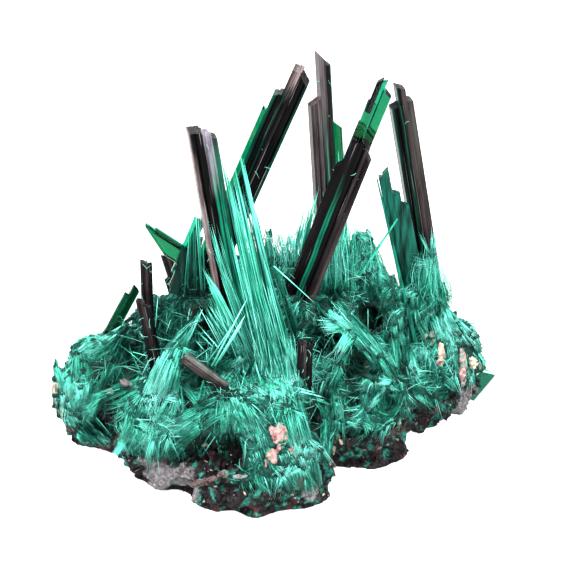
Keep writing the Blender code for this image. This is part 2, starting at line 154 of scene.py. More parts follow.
# Combed felt seen in the photo. Each patch has rows of pixels that its needles run across, down from the
# first row to the last, then count, share of the way that a needle spans, thickness, darkest and palest
# tone, and lift.
COMBED = (
    (
        (
            ((200, 312), (197, 318)), ((160, 352), (186, 352)), ((140, 398), (176, 392)),
            ((114, 465), (165, 440)),
        ),
        2600, 0.34, 0.055, 0.5, 0.98, 0.25,
    ),
    (
        (((170, 395), (180, 405)), ((150, 425), (172, 430)), ((142, 458), (170, 458))),
        900, 0.5, 0.045, 0.45, 0.95, 0.3,
    ),
    (
        (
            ((222, 394), (229, 402), (224, 416)), ((190, 409), (190, 424), (192, 438)),
            ((160, 424), (152, 442), (168, 462)),
        ),
        1900, 0.45, 0.055, 0.55, 1.0, 0.3,
    ),
    (
        (
            ((229, 398), (240, 396), (252, 404)), ((236, 420), (254, 424), (272, 426)),
            ((246, 438), (262, 448), (286, 446)),
        ),
        1200, 0.5, 0.055, 0.55, 1.0, 0.3,
    ),
    (
        (
            ((262, 384), (280, 373), (298, 390)), ((262, 412), (288, 418), (312, 440)),
            ((282, 440), (300, 465), (322, 492)),
        ),
        1800, 0.45, 0.05, 0.45, 0.95, 0.25,
    ),
    (
        (((255, 470), (300, 450)), ((262, 484), (322, 478)), ((270, 494), (324, 496))),
        420, 0.6, 0.05, 0.3, 0.85, 0.2,
    ),
    (
        (
            ((50, 358), (75, 351), (90, 345)), ((60, 386), (76, 386), (94, 378)),
            ((66, 420), (76, 424), (92, 404)),
        ),
        1700, 0.4, 0.05, 0.5, 0.95, 0.2,
    ),
    (
        (((133, 316), (128, 326)), ((112, 331), (117, 346)), ((88, 346), (98, 360))),
        1500, 0.5, 0.05, 0.6, 1.0, 0.3,
    ),
    (
        (((143, 376), (143, 388)), ((110, 388), (112, 398)), ((76, 402), (80, 413))),
        700, 0.5, 0.05, 0.4, 0.8, 0.2,
    ),
    (
        (((125, 330), (132, 350)), ((108, 362), (122, 372)), ((98, 392), (122, 384))),
        420, 0.6, 0.045, 0.4, 0.95, 0.4,
    ),
    (
        (
            ((322, 287), (336, 289)), ((343, 318), (353, 314)), ((372, 350), (381, 344)),
            ((394, 384), (404, 380)), ((400, 422), (411, 414)),
        ),
        1700, 0.3, 0.055, 0.45, 0.98, 0.2,
    ),
    (
        (
            ((313, 300), (325, 298)), ((334, 326), (346, 320)), ((360, 348), (370, 338)),
            ((377, 370), (388, 363)),
        ),
        900, 0.35, 0.055, 0.4, 0.95, 0.2,
    ),
    (
        (((346, 348), (353, 350)), ((333, 370), (341, 372)), ((326, 396), (335, 398))),
        380, 0.5, 0.05, 0.4, 0.9, 0.25,
    ),
    (
        (((329, 384), (337, 385)), ((333, 406), (343, 405)), ((333, 434), (345, 430))),
        600, 0.45, 0.05, 0.5, 0.95, 0.2,
    ),
    (
        (((318, 400), (330, 400)), ((322, 425), (334, 428)), ((318, 462), (330, 458))),
        420, 0.45, 0.05, 0.4, 0.85, 0.2,
    ),
    (
        (
            ((410, 288), (430, 284), (444, 296)), ((412, 312), (430, 314), (454, 324)),
            ((424, 342), (440, 346), (470, 346)),
        ),
        1700, 0.45, 0.055, 0.6, 1.0, 0.25,
    ),
    (
        (((391, 318), (402, 316)), ((394, 345), (404, 344)), ((398, 378), (406, 376))),
        560, 0.45, 0.05, 0.5, 0.98, 0.25,
    ),
    (
        (((404, 344), (412, 344)), ((407, 376), (418, 372)), ((419, 410), (431, 413))),
        520, 0.45, 0.05, 0.5, 0.95, 0.25,
    ),
    (
        (((413, 345), (430, 350)), ((418, 368), (436, 368)), ((418, 388), (440, 384))),
        420, 0.5, 0.045, 0.3, 0.8, 0.3,
    ),
    (
        (((370, 268), (386, 272)), ((362, 296), (404, 298)), ((354, 316), (410, 312))),
        900, 0.45, 0.05, 0.12, 0.5, 0.25,
    ),
    (
        (((322, 296), (329, 296)), ((312, 320), (336, 320)), ((310, 343), (345, 335))),
        620, 0.45, 0.045, 0.15, 0.5, 0.2,
    ),
    (
        (((384, 320), (405, 330)), ((382, 338), (398, 352)), ((386, 352), (396, 366))),
        320, 0.5, 0.05, 0.3, 0.75, 0.25,
    ),
    (
        (((398, 382), (386, 396)), ((400, 408), (386, 408)), ((388, 426), (376, 416))),
        420, 0.4, 0.045, 0.35, 0.8, 0.15,
    ),
    (
        (((388, 428), (378, 416)), ((368, 432), (366, 416)), ((352, 416), (362, 402))),
        420, 0.4, 0.045, 0.35, 0.8, 0.15,
    ),
    (
        (((360, 384), (384, 380)), ((360, 400), (388, 398)), ((364, 416), (384, 416))),
        700, 0.5, 0.04, 0.5, 0.75, 0.1,
    ),
    (
        (((445, 304), (462, 330)), ((460, 322), (474, 346)), ((478, 338), (486, 368))),
        800, 0.45, 0.05, 0.6, 1.0, 0.25,
    ),
    (
        (((445, 330), (455, 345)), ((452, 352), (462, 372)), ((452, 366), (470, 392))),
        420, 0.5, 0.045, 0.5, 0.9, 0.2,
    ),
    (
        (((320, 250), (345, 245)), ((322, 268), (352, 272)), ((326, 288), (352, 296))),
        380, 0.5, 0.05, 0.2, 0.65, 0.3,
    ),
    (
        (((240, 352), (262, 352)), ((243, 372), (270, 378)), ((246, 392), (276, 398))),
        620, 0.5, 0.05, 0.3, 0.85, 0.35,
    ),
    (
        (((268, 350), (300, 352)), ((272, 372), (304, 380)), ((276, 398), (312, 404))),
        620, 0.5, 0.05, 0.35, 0.95, 0.35,
    ),
    (
        (((150, 300), (182, 300)), ((150, 320), (190, 330)), ((150, 345), (182, 350))),
        260, 0.6, 0.045, 0.1, 0.5, 0.5,
    ),
    (
        (((218, 400), (242, 400)), ((214, 416), (242, 416)), ((214, 434), (240, 434))),
        700, 0.5, 0.05, 0.6, 1.0, 0.3,
    ),
    (
        (((364, 374), (394, 374)), ((360, 394), (398, 392)), ((366, 416), (394, 412))),
        900, 0.4, 0.045, 0.4, 0.9, 0.15,
    ),
    (
        (((410, 286), (428, 286)), ((408, 304), (430, 304)), ((410, 322), (430, 320))),
        500, 0.5, 0.045, 0.6, 1.0, 0.25,
    ),
    (
        (((54, 392), (84, 398)), ((62, 424), (102, 426)), ((84, 446), (126, 450))),
        1300, 0.45, 0.05, 0.3, 0.95, 0.12,
    ),
    (
        (((104, 420), (142, 420)), ((112, 440), (150, 440)), ((120, 456), (160, 460))),
        700, 0.5, 0.05, 0.3, 0.9, 0.12,
    ),
    (
        (((262, 442), (300, 436)), ((268, 468), (320, 466)), ((284, 490), (322, 488))),
        1300, 0.45, 0.05, 0.3, 0.95, 0.12,
    ),
    (
        (((214, 432), (228, 432)), ((218, 446), (226, 446)), ((220, 458), (226, 458))),
        160, 0.5, 0.045, 0.4, 0.95, 0.1,
    ),
    (
        (((452, 340), (478, 352)), ((456, 366), (484, 372)), ((458, 386), (484, 388))),
        600, 0.45, 0.05, 0.4, 0.95, 0.12,
    ),
)

# Nests of loose hairs seen in the photo: pixel, radius in pixels, count, shortest and longest length.
NESTS = (
    ((160, 285), 30, 110, 1.0, 3.2),
    ((165, 325), 20, 70, 0.8, 2.4),
    ((140, 355), 22, 90, 0.8, 2.4),
    ((118, 360), 18, 110, 0.8, 2.0),
    ((100, 385), 18, 60, 0.6, 1.6),
    ((165, 425), 16, 110, 0.8, 1.8),
    ((205, 345), 22, 80, 1.0, 2.6),
    ((232, 390), 14, 50, 0.6, 1.4),
    ((260, 412), 16, 60, 0.6, 1.6),
    ((285, 230), 14, 70, 0.8, 2.2),
    ((350, 262), 22, 190, 0.7, 2.0),
    ((332, 250), 16, 90, 0.7, 1.8),
    ((372, 322), 18, 40, 0.6, 1.8),
    ((330, 345), 20, 60, 0.6, 1.6),
    ((325, 368), 18, 110, 0.5, 1.4),
    ((352, 372), 14, 50, 0.6, 1.6),
    ((352, 405), 12, 40, 0.5, 1.2),
    ((425, 368), 22, 130, 0.5, 1.4),
    ((290, 340), 20, 80, 0.6, 1.6),
    ((300, 395), 16, 70, 0.5, 1.4),
    ((290, 262), 14, 50, 0.8, 2.0),
    ((430, 300), 24, 70, 0.5, 1.3),
    ((190, 400), 14, 50, 0.6, 1.6),
)

# Deep recesses of the felt, where little light comes, so the felt's tone is painted darker there as shade:
# pixel, half width and half height in pixels.
RECESSES = (
    ((128, 350), (20, 42)),
    ((154, 318), (12, 16)),
    ((186, 274), (30, 60)),
    ((206, 318), (15, 32)),
    ((192, 385), (13, 26)),
    ((112, 402), (12, 10)),
    ((256, 410), (12, 14)),
    ((312, 332), (16, 24)),
    ((330, 346), (22, 16)),
    ((336, 308), (18, 16)),
    ((368, 318), (22, 14)),
    ((355, 368), (13, 18)),
    ((352, 412), (9, 14)),
    ((414, 270), (16, 16)),
    ((404, 378), (7, 18)),
    ((282, 306), (12, 16)),
    ((166, 412), (8, 10)),
)

# Pale ridges of the felt, where the light falls, so the felt's tone is painted paler there as a highlight,
# in the same form.
LIT_RIDGES = (
    ((424, 298), (26, 26)),
    ((462, 340), (26, 34)),
    ((474, 372), (18, 24)),
    ((418, 358), (16, 44)),
    ((156, 384), (22, 44)),
    ((132, 448), (30, 26)),
    ((104, 334), (24, 16)),
    ((72, 412), (26, 40)),
    ((62, 372), (18, 26)),
    ((240, 412), (38, 24)),
    ((182, 430), (26, 16)),
    ((282, 392), (20, 24)),
    ((262, 345), (40, 26)),
    ((352, 326), (12, 20)),
    ((385, 384), (22, 22)),
    ((340, 428), (14, 20)),
    ((372, 272), (30, 30)),
    ((300, 470), (34, 36)),
)

# Points that the matted needles run away from, down the slopes.
COMB_POINTS = (
    (-5.4, -2.6, 13.6),
    (-4.4, -8.0, 9.6),
    (-3.0, -8.2, 9.6),
    (-0.8, -3.0, 9.5),
    (-11.0, 0.4, 11.4),
    (-17.0, 2.4, 7.0),
    (-13.4, -0.4, 8.6),
    (1.8, 0.0, 13.4),
    (4.9, 3.0, 17.0),
    (0.0, 4.0, 15.6),
    (-7.0, 0.4, 15.0),
    (5.2, -1.6, 10.6),
    (8.6, -2.4, 6.4),
    (10.8, 4.0, 13.0),
    (13.0, 4.6, 8.6),
    (6.6, -3.6, 8.6),
    (1.2, -5.6, 8.0),
    (-9.4, -2.8, 8.0),
    (-4.0, 7.6, 12.0),
    (3.0, 7.6, 12.5),
    (-10.0, 6.4, 9.0),
    (9.0, 7.0, 10.0),
    (-14.0, 5.0, 7.0),
    (0.0, 9.6, 8.5),
    (5.5, 9.4, 8.0),
    (-6.5, 9.4, 8.0),
)

# The prisms: root, tip, turn about the length in degrees, and columns. A column has its place across
# and into the crystal, its width and depth, its end as a share of the length, and its end's fall.
PRISMS = {
    "left_prism": (
        (-4.05, -0.5, 11.4),
        (-5.9, -2.0, 25.9),
        12,
        (
            (-0.45, 0.0, 0.85, 1.5, 0.99, 0.05),
            (0.18, 0.12, 0.7, 1.36, 0.972, 0.1),
            (0.62, 0.05, 0.8, 1.07, 0.95, 0.6),
        ),
    ),
    "back_left_prism": (
        (-6.6, 4.3, 11.0),
        (0.85, 1.6, 29.2),
        -10,
        (
            (0.6, 0.0, 1.02, 1.5, 0.965, 0.9),
            (0.06, 0.18, 0.7, 1.4, 0.98, -0.1),
            (-0.5, 0.05, 0.7, 1.2, 0.875, -0.3),
            (-0.9, 0.1, 0.5, 0.8, 0.79, 0.3),
        ),
    ),
    "back_prism": (
        (3.6, 5.6, 9.8),
        (2.4, 5.6, 28.9),
        15,
        (
            (-0.12, 0.0, 0.5, 1.3, 0.99, 1.2),
            (0.3, 0.1, 0.45, 1.2, 0.955, 0.0),
            (-0.72, 0.02, 0.8, 1.1, 0.815, -0.6),
            (0.8, -0.12, 0.6, 0.94, 0.72, 0.9),
        ),
    ),
    "front_prism": (
        (0.1, 1.0, 10.0),
        (6.6, -1.5, 29.2),
        -14,
        (
            (-0.12, 0.0, 0.6, 1.1, 0.985, -0.9),
            (0.42, 0.06, 0.7, 1.34, 0.95, 0.6),
            (-0.3, 0.15, 0.6, 1.24, 0.9, 0.2),
            (-0.42, -0.04, 0.5, 0.98, 0.83, -0.4),
            (-0.76, 0.12, 0.5, 0.96, 0.655, -0.8),
        ),
    ),
    "right_prism": (
        (11.7, 6.4, 6.0),
        (7.85, 5.0, 27.0),
        10,
        (
            (0.0, 0.1, 0.65, 1.2, 0.98, 0.5),
            (-0.48, 0.0, 0.85, 1.4, 0.92, -0.3),
            (0.4, 0.16, 0.72, 1.26, 0.93, 0.3),
        ),
    ),
    "short_upright_prism": (
        (-10.1, 0.3, 9.0),
        (-10.05, 0.3, 15.1),
        8,
        ((-0.15, 0.0, 0.55, 0.7, 1.0, 0.3), (0.2, 0.05, 0.45, 0.52, 0.97, -0.2)),
    ),
    "dark_bar_prism": (
        (-9.2, -1.6, 6.4),
        (-10.2, -2.0, 13.2),
        -12,
        ((-0.2, 0.0, 0.5, 0.66, 1.0, 0.4), (0.22, 0.1, 0.44, 0.54, 0.93, 0.3)),
    ),
    "lying_prism": (
        (-3.2, -4.9, 6.8),
        (-7.1, -5.6, 10.4),
        20,
        ((0.0, 0.0, 0.8, 0.7, 1.0, 0.1), (0.1, 0.4, 0.5, 0.4, 0.96, 0.0)),
    ),
    "stub_prism": (
        (1.1, -3.6, 5.6),
        (1.2, -3.9, 10.7),
        6,
        ((-0.2, 0.0, 0.6, 0.8, 1.0, -0.3), (0.3, 0.05, 0.55, 0.62, 0.97, 0.2)),
    ),
    "rear_prism": (
        (-7.4, 8.0, 5.6),
        (-9.4, 10.0, 11.6),
        10,
        (
            (0.0, 0.0, 0.9, 0.9, 1.0, 0.4), (0.55, 0.1, 0.6, 0.6, 0.85, 0.2),
            (-0.5, 0.12, 0.5, 0.52, 0.74, -0.4),
        ),
    ),
    "rear_short_prism": (
        (4.6, 8.4, 5.4),
        (6.0, 10.6, 10.4),
        -8,
        ((0.0, 0.0, 0.7, 0.7, 1.0, -0.4), (-0.45, 0.1, 0.5, 0.44, 0.83, 0.3)),
    ),
}

# The blades and the thin prisms beside them, in the same form.
CLEAR_BLADES = {
    "right_side_prism": (
        (9.6, 4.6, 8.0),
        (7.0, 4.0, 20.6),
        0,
        (
            (0.0, 0.0, 0.5, 0.7, 1.0, -0.8),
            (-0.35, 0.1, 0.4, 0.6, 0.97, 0.4),
            (0.46, 0.04, 0.6, 0.7, 0.86, 0.5),
            (0.94, 0.1, 0.6, 0.6, 0.78, 0.5),
        ),
    ),
    "clear_blade": (
        (-5.0, 1.7, 13.2),
        (-9.7, 0.9, 16.9),
        0,
        ((-0.1, 0.0, 1.2, 0.75, 0.94, -2.2),),
    ),
    "clear_blade_rim": (
        (-5.0, 1.7, 13.2),
        (-9.7, 0.9, 16.9),
        0,
        ((0.5, 0.0, 0.14, 0.85, 1.14, -0.3),),
    ),
    "left_side_edge": (
        (-7.9, 1.08, 13.9),
        (-6.1, 0.9, 18.2),
        0,
        ((-0.3, 0.06, 0.3, 0.5, 0.96, 0.3),),
    ),
    "left_side_prism": (
        (-8.4, 1.14, 12.8),
        (-6.1, 0.9, 18.2),
        0,
        ((0.1, 0.0, 0.56, 0.4, 1.0, -0.4), (0.62, 0.05, 0.5, 0.4, 0.6, 0.5)),
    ),
    "dark_foot_prism": (
        (-7.7, 0.6, 12.4),
        (-6.5, 0.6, 16.9),
        0,
        ((-0.45, 0.0, 0.7, 0.5, 0.74, 0.4), (0.2, 0.05, 0.7, 0.5, 0.97, -0.5)),
    ),
    "end_blade": (
        (14.0, 5.6, 1.4),
        (15.4, 5.3, 3.6),
        0,
        ((0.0, 0.0, 1.2, 0.35, 1.0, -0.3),),
    ),
    "slope_blade_high": (
        (-13.6, 3.4, 7.0),
        (-11.1, 3.0, 11.8),
        10,
        ((0.0, 0.0, 0.6, 0.5, 1.0, 0.6), (-0.4, 0.1, 0.4, 0.38, 0.86, 0.3)),
    ),
}
# Those of them that are solids too.
BLADE_SOLIDS = ("right_side_prism", "clear_blade", "end_blade", "slope_blade_high")
BRIGHT_BLADES = ("clear_blade", "left_side_edge")
STREAKED_BLADES = {  # too dark to see through: the dark and the pale streaks
    "right_side_prism": ((0.0002, 0.006, 0.004), (0.0045, 0.07, 0.05)),
    "dark_foot_prism": ((0.0001, 0.003, 0.002), (0.001, 0.018, 0.013)),
}
SINGLE_NEEDLES = {  # the two long needles that stay as they are: material, dark and pale streaks
    "long_needle": ("deep needle", (0.0005, 0.03, 0.02), (0.006, 0.15, 0.1)),
    "cross_needle": ("pale needle", (0.003, 0.16, 0.1), (0.03, 0.36, 0.25)),
}
SLAB = 0.4  # usual width of the slabs that a column is split into
WHOLE = 9.0  # a slab wider than any column, which leaves it in one
GROOVE = 0.06  # most that a slab stands back from its neighbour
DEEP_ROOT = -2.0  # where left_prism starts, below its root, as the felt leaves its foot open
SPUR_FROM = 0.865  # share of front_prism's length where its dark spur starts
CLEAR_FROM = 0.755  # share of front_prism's length where it thins and turns clear
# Two more columns of front_prism: the dark spur beside its clear end, and a step low on its right.
DARK_SPUR = (-0.3, 0.1, 0.36, 0.8, 0.98, -1.2)
RIGHT_STEP = (0.92, 0.04, 0.42, 0.9, 0.71, 1.2)
CLEAR_COLUMNS = {("back_left_prism", -0.9), ("back_prism", 0.8)}  # columns that are clear, by place across

# Sprays of straight needles: the solid each stands for, rings of a needle, and its fans. A fan has root
# A and B and tip C and D as pixel and depth, then count, shortest share of the full length, thickness,
# darkest and palest tone, scatter of the ends, and curl.
SPRAYS = {
    "centre_spray": (
        "centre_sheaf",
        1,
        (
            (
                ((264, 374, -3.0), (272, 376, -3.0), (216, 136, -2.9), (222, 148, -2.85)),
                18, 0.8, 0.22, 0.15, 0.75, 0.06, 0.0,
            ),
            (
                ((262, 374, -2.6), (294, 376, -2.5), (224, 172, -2.4), (246, 180, -2.3)),
                70, 0.6, 0.14, 0.02, 0.6, 0.1, 0.0,
            ),
            (
                ((272, 376, -3.1), (282, 376, -3.0), (223, 158, -2.9), (232, 150, -2.8)),
                20, 0.7, 0.18, 0.15, 0.8, 0.08, 0.0,
            ),
            (
                ((284, 372, -2.9), (293, 372, -2.8), (236, 146, -2.6), (242, 153, -2.6)),
                18, 0.75, 0.18, 0.15, 0.85, 0.06, 0.0,
            ),
            (
                ((258, 370, -3.3), (270, 376, -3.3), (222, 214, -3.0), (232, 200, -3.0)),
                24, 0.6, 0.15, 0.15, 0.85, 0.12, 0.0,
            ),
            (
                ((286, 370, -3.2), (296, 368, -3.0), (246, 190, -2.8), (256, 228, -2.7)),
                24, 0.6, 0.15, 0.15, 0.85, 0.1, 0.0,
            ),
            (
                ((264, 372, -3.6), (292, 372, -3.5), (236, 262, -3.3), (264, 272, -3.2)),
                70, 0.5, 0.09, 0.2, 0.95, 0.18, 0.004,
            ),
            (
                ((240, 352, -3.0), (256, 362, -3.2), (197, 258, -2.7), (206, 268, -2.8)),
                34, 0.6, 0.13, 0.1, 0.8, 0.14, 0.0,
            ),
            (
                ((248, 356, -3.2), (266, 366, -3.3), (213, 246, -2.8), (221, 256, -2.9)),
                30, 0.6, 0.13, 0.1, 0.8, 0.14, 0.0,
            ),
            (
                ((226, 346, -3.2), (246, 356, -3.4), (198, 300, -3.0), (214, 290, -3.0)),
                40, 0.5, 0.09, 0.3, 0.9, 0.2, 0.01,
            ),
            (
                ((238, 338, -2.6), (252, 350, -2.8), (205, 213, -2.4), (217, 222, -2.4)),
                14, 0.7, 0.1, 0.3, 0.95, 0.1, 0.0,
            ),
            (
                ((296, 342, -1.9), (304, 350, -1.9), (262, 238, -1.8), (276, 258, -1.7)),
                18, 0.6, 0.14, 0.1, 0.45, 0.1, 0.0,
            ),
            (
                ((262, 384, -3.6), (300, 386, -3.6), (252, 322, -3.2), (288, 330, -3.0)),
                220, 0.4, 0.06, 0.5, 1.0, 0.3, 0.03,
            ),
        ),
    ),
    "back_spray": (
        "back_sheaf",
        1,
        (
            (
                ((284, 272, 3.4), (304, 272, 3.6), (290, 225, 3.2), (320, 184, 3.4)),
                90, 0.5, 0.12, 0.3, 0.95, 0.2, 0.004,
            ),
            (
                ((264, 272, 2.6), (300, 276, 2.4), (262, 228, 2.4), (300, 232, 2.4)),
                130, 0.4, 0.06, 0.3, 0.9, 0.3, 0.05,
            ),
            (
                ((250, 262, 3.0), (296, 262, 3.2), (254, 218, 3.0), (290, 228, 3.2)),
                120, 0.35, 0.06, 0.1, 0.7, 0.3, 0.05,
            ),
        ),
    ),
    "left_spray": (
        "left_sheaf",
        1,
        (
            (
                ((196, 288, 0.2), (206, 290, 0.2), (194, 204, 0.2), (201, 208, 0.2)),
                9, 0.7, 0.12, 0.15, 0.75, 0.06, 0.0,
            ),
            (
                ((186, 286, 0.3), (196, 288, 0.3), (189, 214, 0.2), (195, 210, 0.2)),
                8, 0.6, 0.11, 0.1, 0.6, 0.08, 0.0,
            ),
            (
                ((176, 298, 0.4), (204, 296, 0.2), (180, 262, 0.4), (196, 240, 0.2)),
                22, 0.4, 0.06, 0.05, 0.3, 0.22, 0.02,
            ),
        ),
    ),
    "back_fuzz": (
        None,
        3,
        (
            (
                ((336, 282, 2.6), (384, 286, 3.0), (350, 206, 3.0), (366, 226, 3.2)),
                520, 0.3, 0.04, 0.2, 0.85, 0.4, 0.11,
            ),
            (
                ((346, 290, 3.0), (388, 290, 3.4), (358, 226, 3.2), (372, 262, 3.4)),
                300, 0.3, 0.04, 0.2, 0.8, 0.4, 0.11,
            ),
            (
                ((318, 288, 1.6), (350, 288, 1.8), (322, 222, 2.2), (346, 232, 2.4)),
                220, 0.3, 0.05, 0.15, 0.8, 0.3, 0.06,
            ),
        ),
    ),
    "right_fuzz": (
        None,
        3,
        (
            (
                ((420, 302, 3.4), (446, 302, 3.8), (424, 250, 3.8), (438, 246, 4.0)),
                380, 0.25, 0.04, 0.2, 0.85, 0.35, 0.12,
            ),
            (
                ((416, 294, 3.2), (428, 294, 3.4), (414, 262, 3.6), (424, 240, 3.9)),
                50, 0.3, 0.05, 0.2, 0.7, 0.25, 0.08,
            ),
        ),
    ),
    "rear_fuzz": (
        None,
        1,
        (
            (
                ((276, 300, 8.6), (330, 300, 8.8), (268, 262, 9.4), (330, 256, 9.6)),
                160, 0.4, 0.1, 0.2, 0.8, 0.4, 0.01,
            ),
            (
                ((200, 300, 6.8), (250, 300, 7.6), (196, 262, 7.6), (246, 262, 8.2)),
                140, 0.4, 0.1, 0.2, 0.8, 0.4, 0.01,
            ),
        ),
    ),
}

# Grains of other minerals seen in the photo: pixel, half width and half height in pixels, turn in
# degrees, and tone from 0 pink over 0.4 cream and 0.7 grey to 1 brown.
GRAINS_SEEN = (
    ((275, 440), (9, 15), -12, 0.15),
    ((271, 455), (6, 7), 10, 0.2),
    ((266, 463), (3, 5), 0, 0.2),
    ((284, 436), (4, 10), 0, 0.3),
    ((292, 451), (5, 6), 0, 0.2),
    ((204, 482), (14, 4.5), 14, 1.0),
    ((222, 476), (8, 5), 20, 0.95),
    ((442, 352), (5, 10), 8, 0.4),
    ((441, 362), (5, 5), 0, 0.25),
    ((433, 339), (4, 9), 0, 0.6),
    ((425, 338), (3, 5), 0, 0.55),
    ((462, 366), (5, 15), 0, 0.15),
    ((461, 356), (3, 8), 6, 0.05),
    ((472, 362), (6, 7), 0, 0.4),
    ((478, 366), (5, 6), 0, 0.45),
    ((462, 381), (4, 9), 0, 0.65),
    ((398, 423), (2, 5), -12, 0.45),
    ((339, 438), (3, 7), 30, 0.45),
    ((333, 450), (2, 5), 0, 0.3),
    ((56, 388), (5, 7), 0, 0.5),
    ((58, 400), (6, 9), 0, 0.75),
    ((64, 413), (4, 7), 20, 0.6),
    ((205, 444), (4, 3), 0, 0.6),
    ((240, 477), (8, 3), 0, 0.7),
    ((130, 385), (12, 4), -18, 0.85),
    ((112, 392), (6, 4), -18, 0.75),
)

# Single needles seen in the photo: root and tip as pixel and depth, thickness, tone. Those without a
# depth lie on the crust.
NEEDLES_SEEN = (
    ((274, 266, -2.6), (318, 306, -0.8), 0.1, 1.0),
    ((212, 366, -4.2), (248, 297, -3.9), 0.16, 0.9),
    ((215, 366, -4.2), (246, 314, -3.9), 0.15, 0.95),
    ((208, 362, -4.2), (233, 325, -3.9), 0.13, 0.7),
    ((220, 360, -4.3), (243, 322, -4.2), 0.1, 0.9),
    ((240, 375, None), (277, 418, None), 0.34, 0.75),
    ((238, 378, None), (262, 402, None), 0.22, 0.5),
    ((246, 378, -4.4), (255, 356, -4.4), 0.4, 0.12),
    ((137, 397, None), (100, 411, None), 0.36, 0.4),
    ((343, 170, 4.6), (345, 134, 4.4), 0.13, 0.85),
    ((340, 172, 4.6), (338, 150, 4.4), 0.12, 0.95),
    ((397, 192, 3.9), (388, 155, 3.9), 0.06, 0.9),
    ((406, 112, 4.9), (404, 91, 4.9), 0.3, 0.6),
    ((300, 392, None), (328, 398, None), 0.12, 1.0),
    ((298, 390, None), (315, 396, None), 0.08, 0.95),
    ((368, 334, -0.4), (368, 308, -1.2), 0.07, 0.9),
    ((183, 352, None), (203, 308, -2.9), 0.16, 0.85),
    ((186, 330, -2.2), (206, 352, -3.4), 0.12, 0.7),
    ((190, 324, -2.2), (214, 348, -3.6), 0.14, 0.55),
    ((196, 322, -2.2), (222, 352, -3.9), 0.1, 0.85),
    ((152, 352, -1.2), (139, 331, -1.6), 0.07, 0.95),
    ((148, 368, -2.0), (128, 351, -1.8), 0.06, 0.8),
    ((133, 352, -2.2), (148, 356, -2.4), 0.07, 0.95),
    ((155, 332, -1.0), (158, 296, -0.8), 0.09, 0.8),
    ((166, 333, -1.2), (171, 319, -1.4), 0.07, 0.85),
    ((262, 386, None), (255, 362, -4.6), 0.12, 0.7),
    ((234, 408, None), (227, 380, None), 0.2, 0.6),
    ((196, 410, None), (203, 378, None), 0.3, 0.4),
    ((186, 420, None), (184, 384, None), 0.32, 0.35),
    ((176, 415, None), (180, 380, None), 0.24, 0.5),
    ((320, 352, -2.8), (310, 348, -3.4), 0.06, 0.8),
    ((283, 212, 0.5), (296, 238, 0.5), 0.06, 0.5),
)

# Plain tufts of the crust solid that the fine needles stand in for: place and radius.
TUFTS = (
    ((5.0, 2.95, 17.4), 1.35),
    ((5.1, 3.1, 18.4), 1.0),
)

# Smooth grey patches on the rock: place and radius.
GREY_ON_ROCK = (
    ((-9.7, -6.7, 1.3), 2.5),
    ((-7.8, -7.9, 1.5), 2.3),
    ((13.8, 3.4, 2.2), 2.0),
    ((15.2, 4.4, 2.6), 1.4),
    ((1.6, -8.6, 1.6), 0.9),
)


def tint(*parts):
    """A linear colour from red, green and blue numbers up to 255."""
    shares = [part / 255 for part in parts]
    return tuple(((share + 0.055) / 1.055) ** 2.4 if share > 0.04 else share / 12.92 for share in shares)


BLACK = tint(7, 7, 8)
# Painted reflections on the dark prisms, from dim to pale
DIM_SHEEN = tint(24, 21, 23)
BROWN_SHEEN = tint(56, 48, 48)
ROSE_SHEEN = tint(124, 108, 108)
LILAC_SHEEN = tint(128, 122, 134)
DEEP_TEAL = tint(4, 62, 48)
TEAL = tint(18, 120, 92)
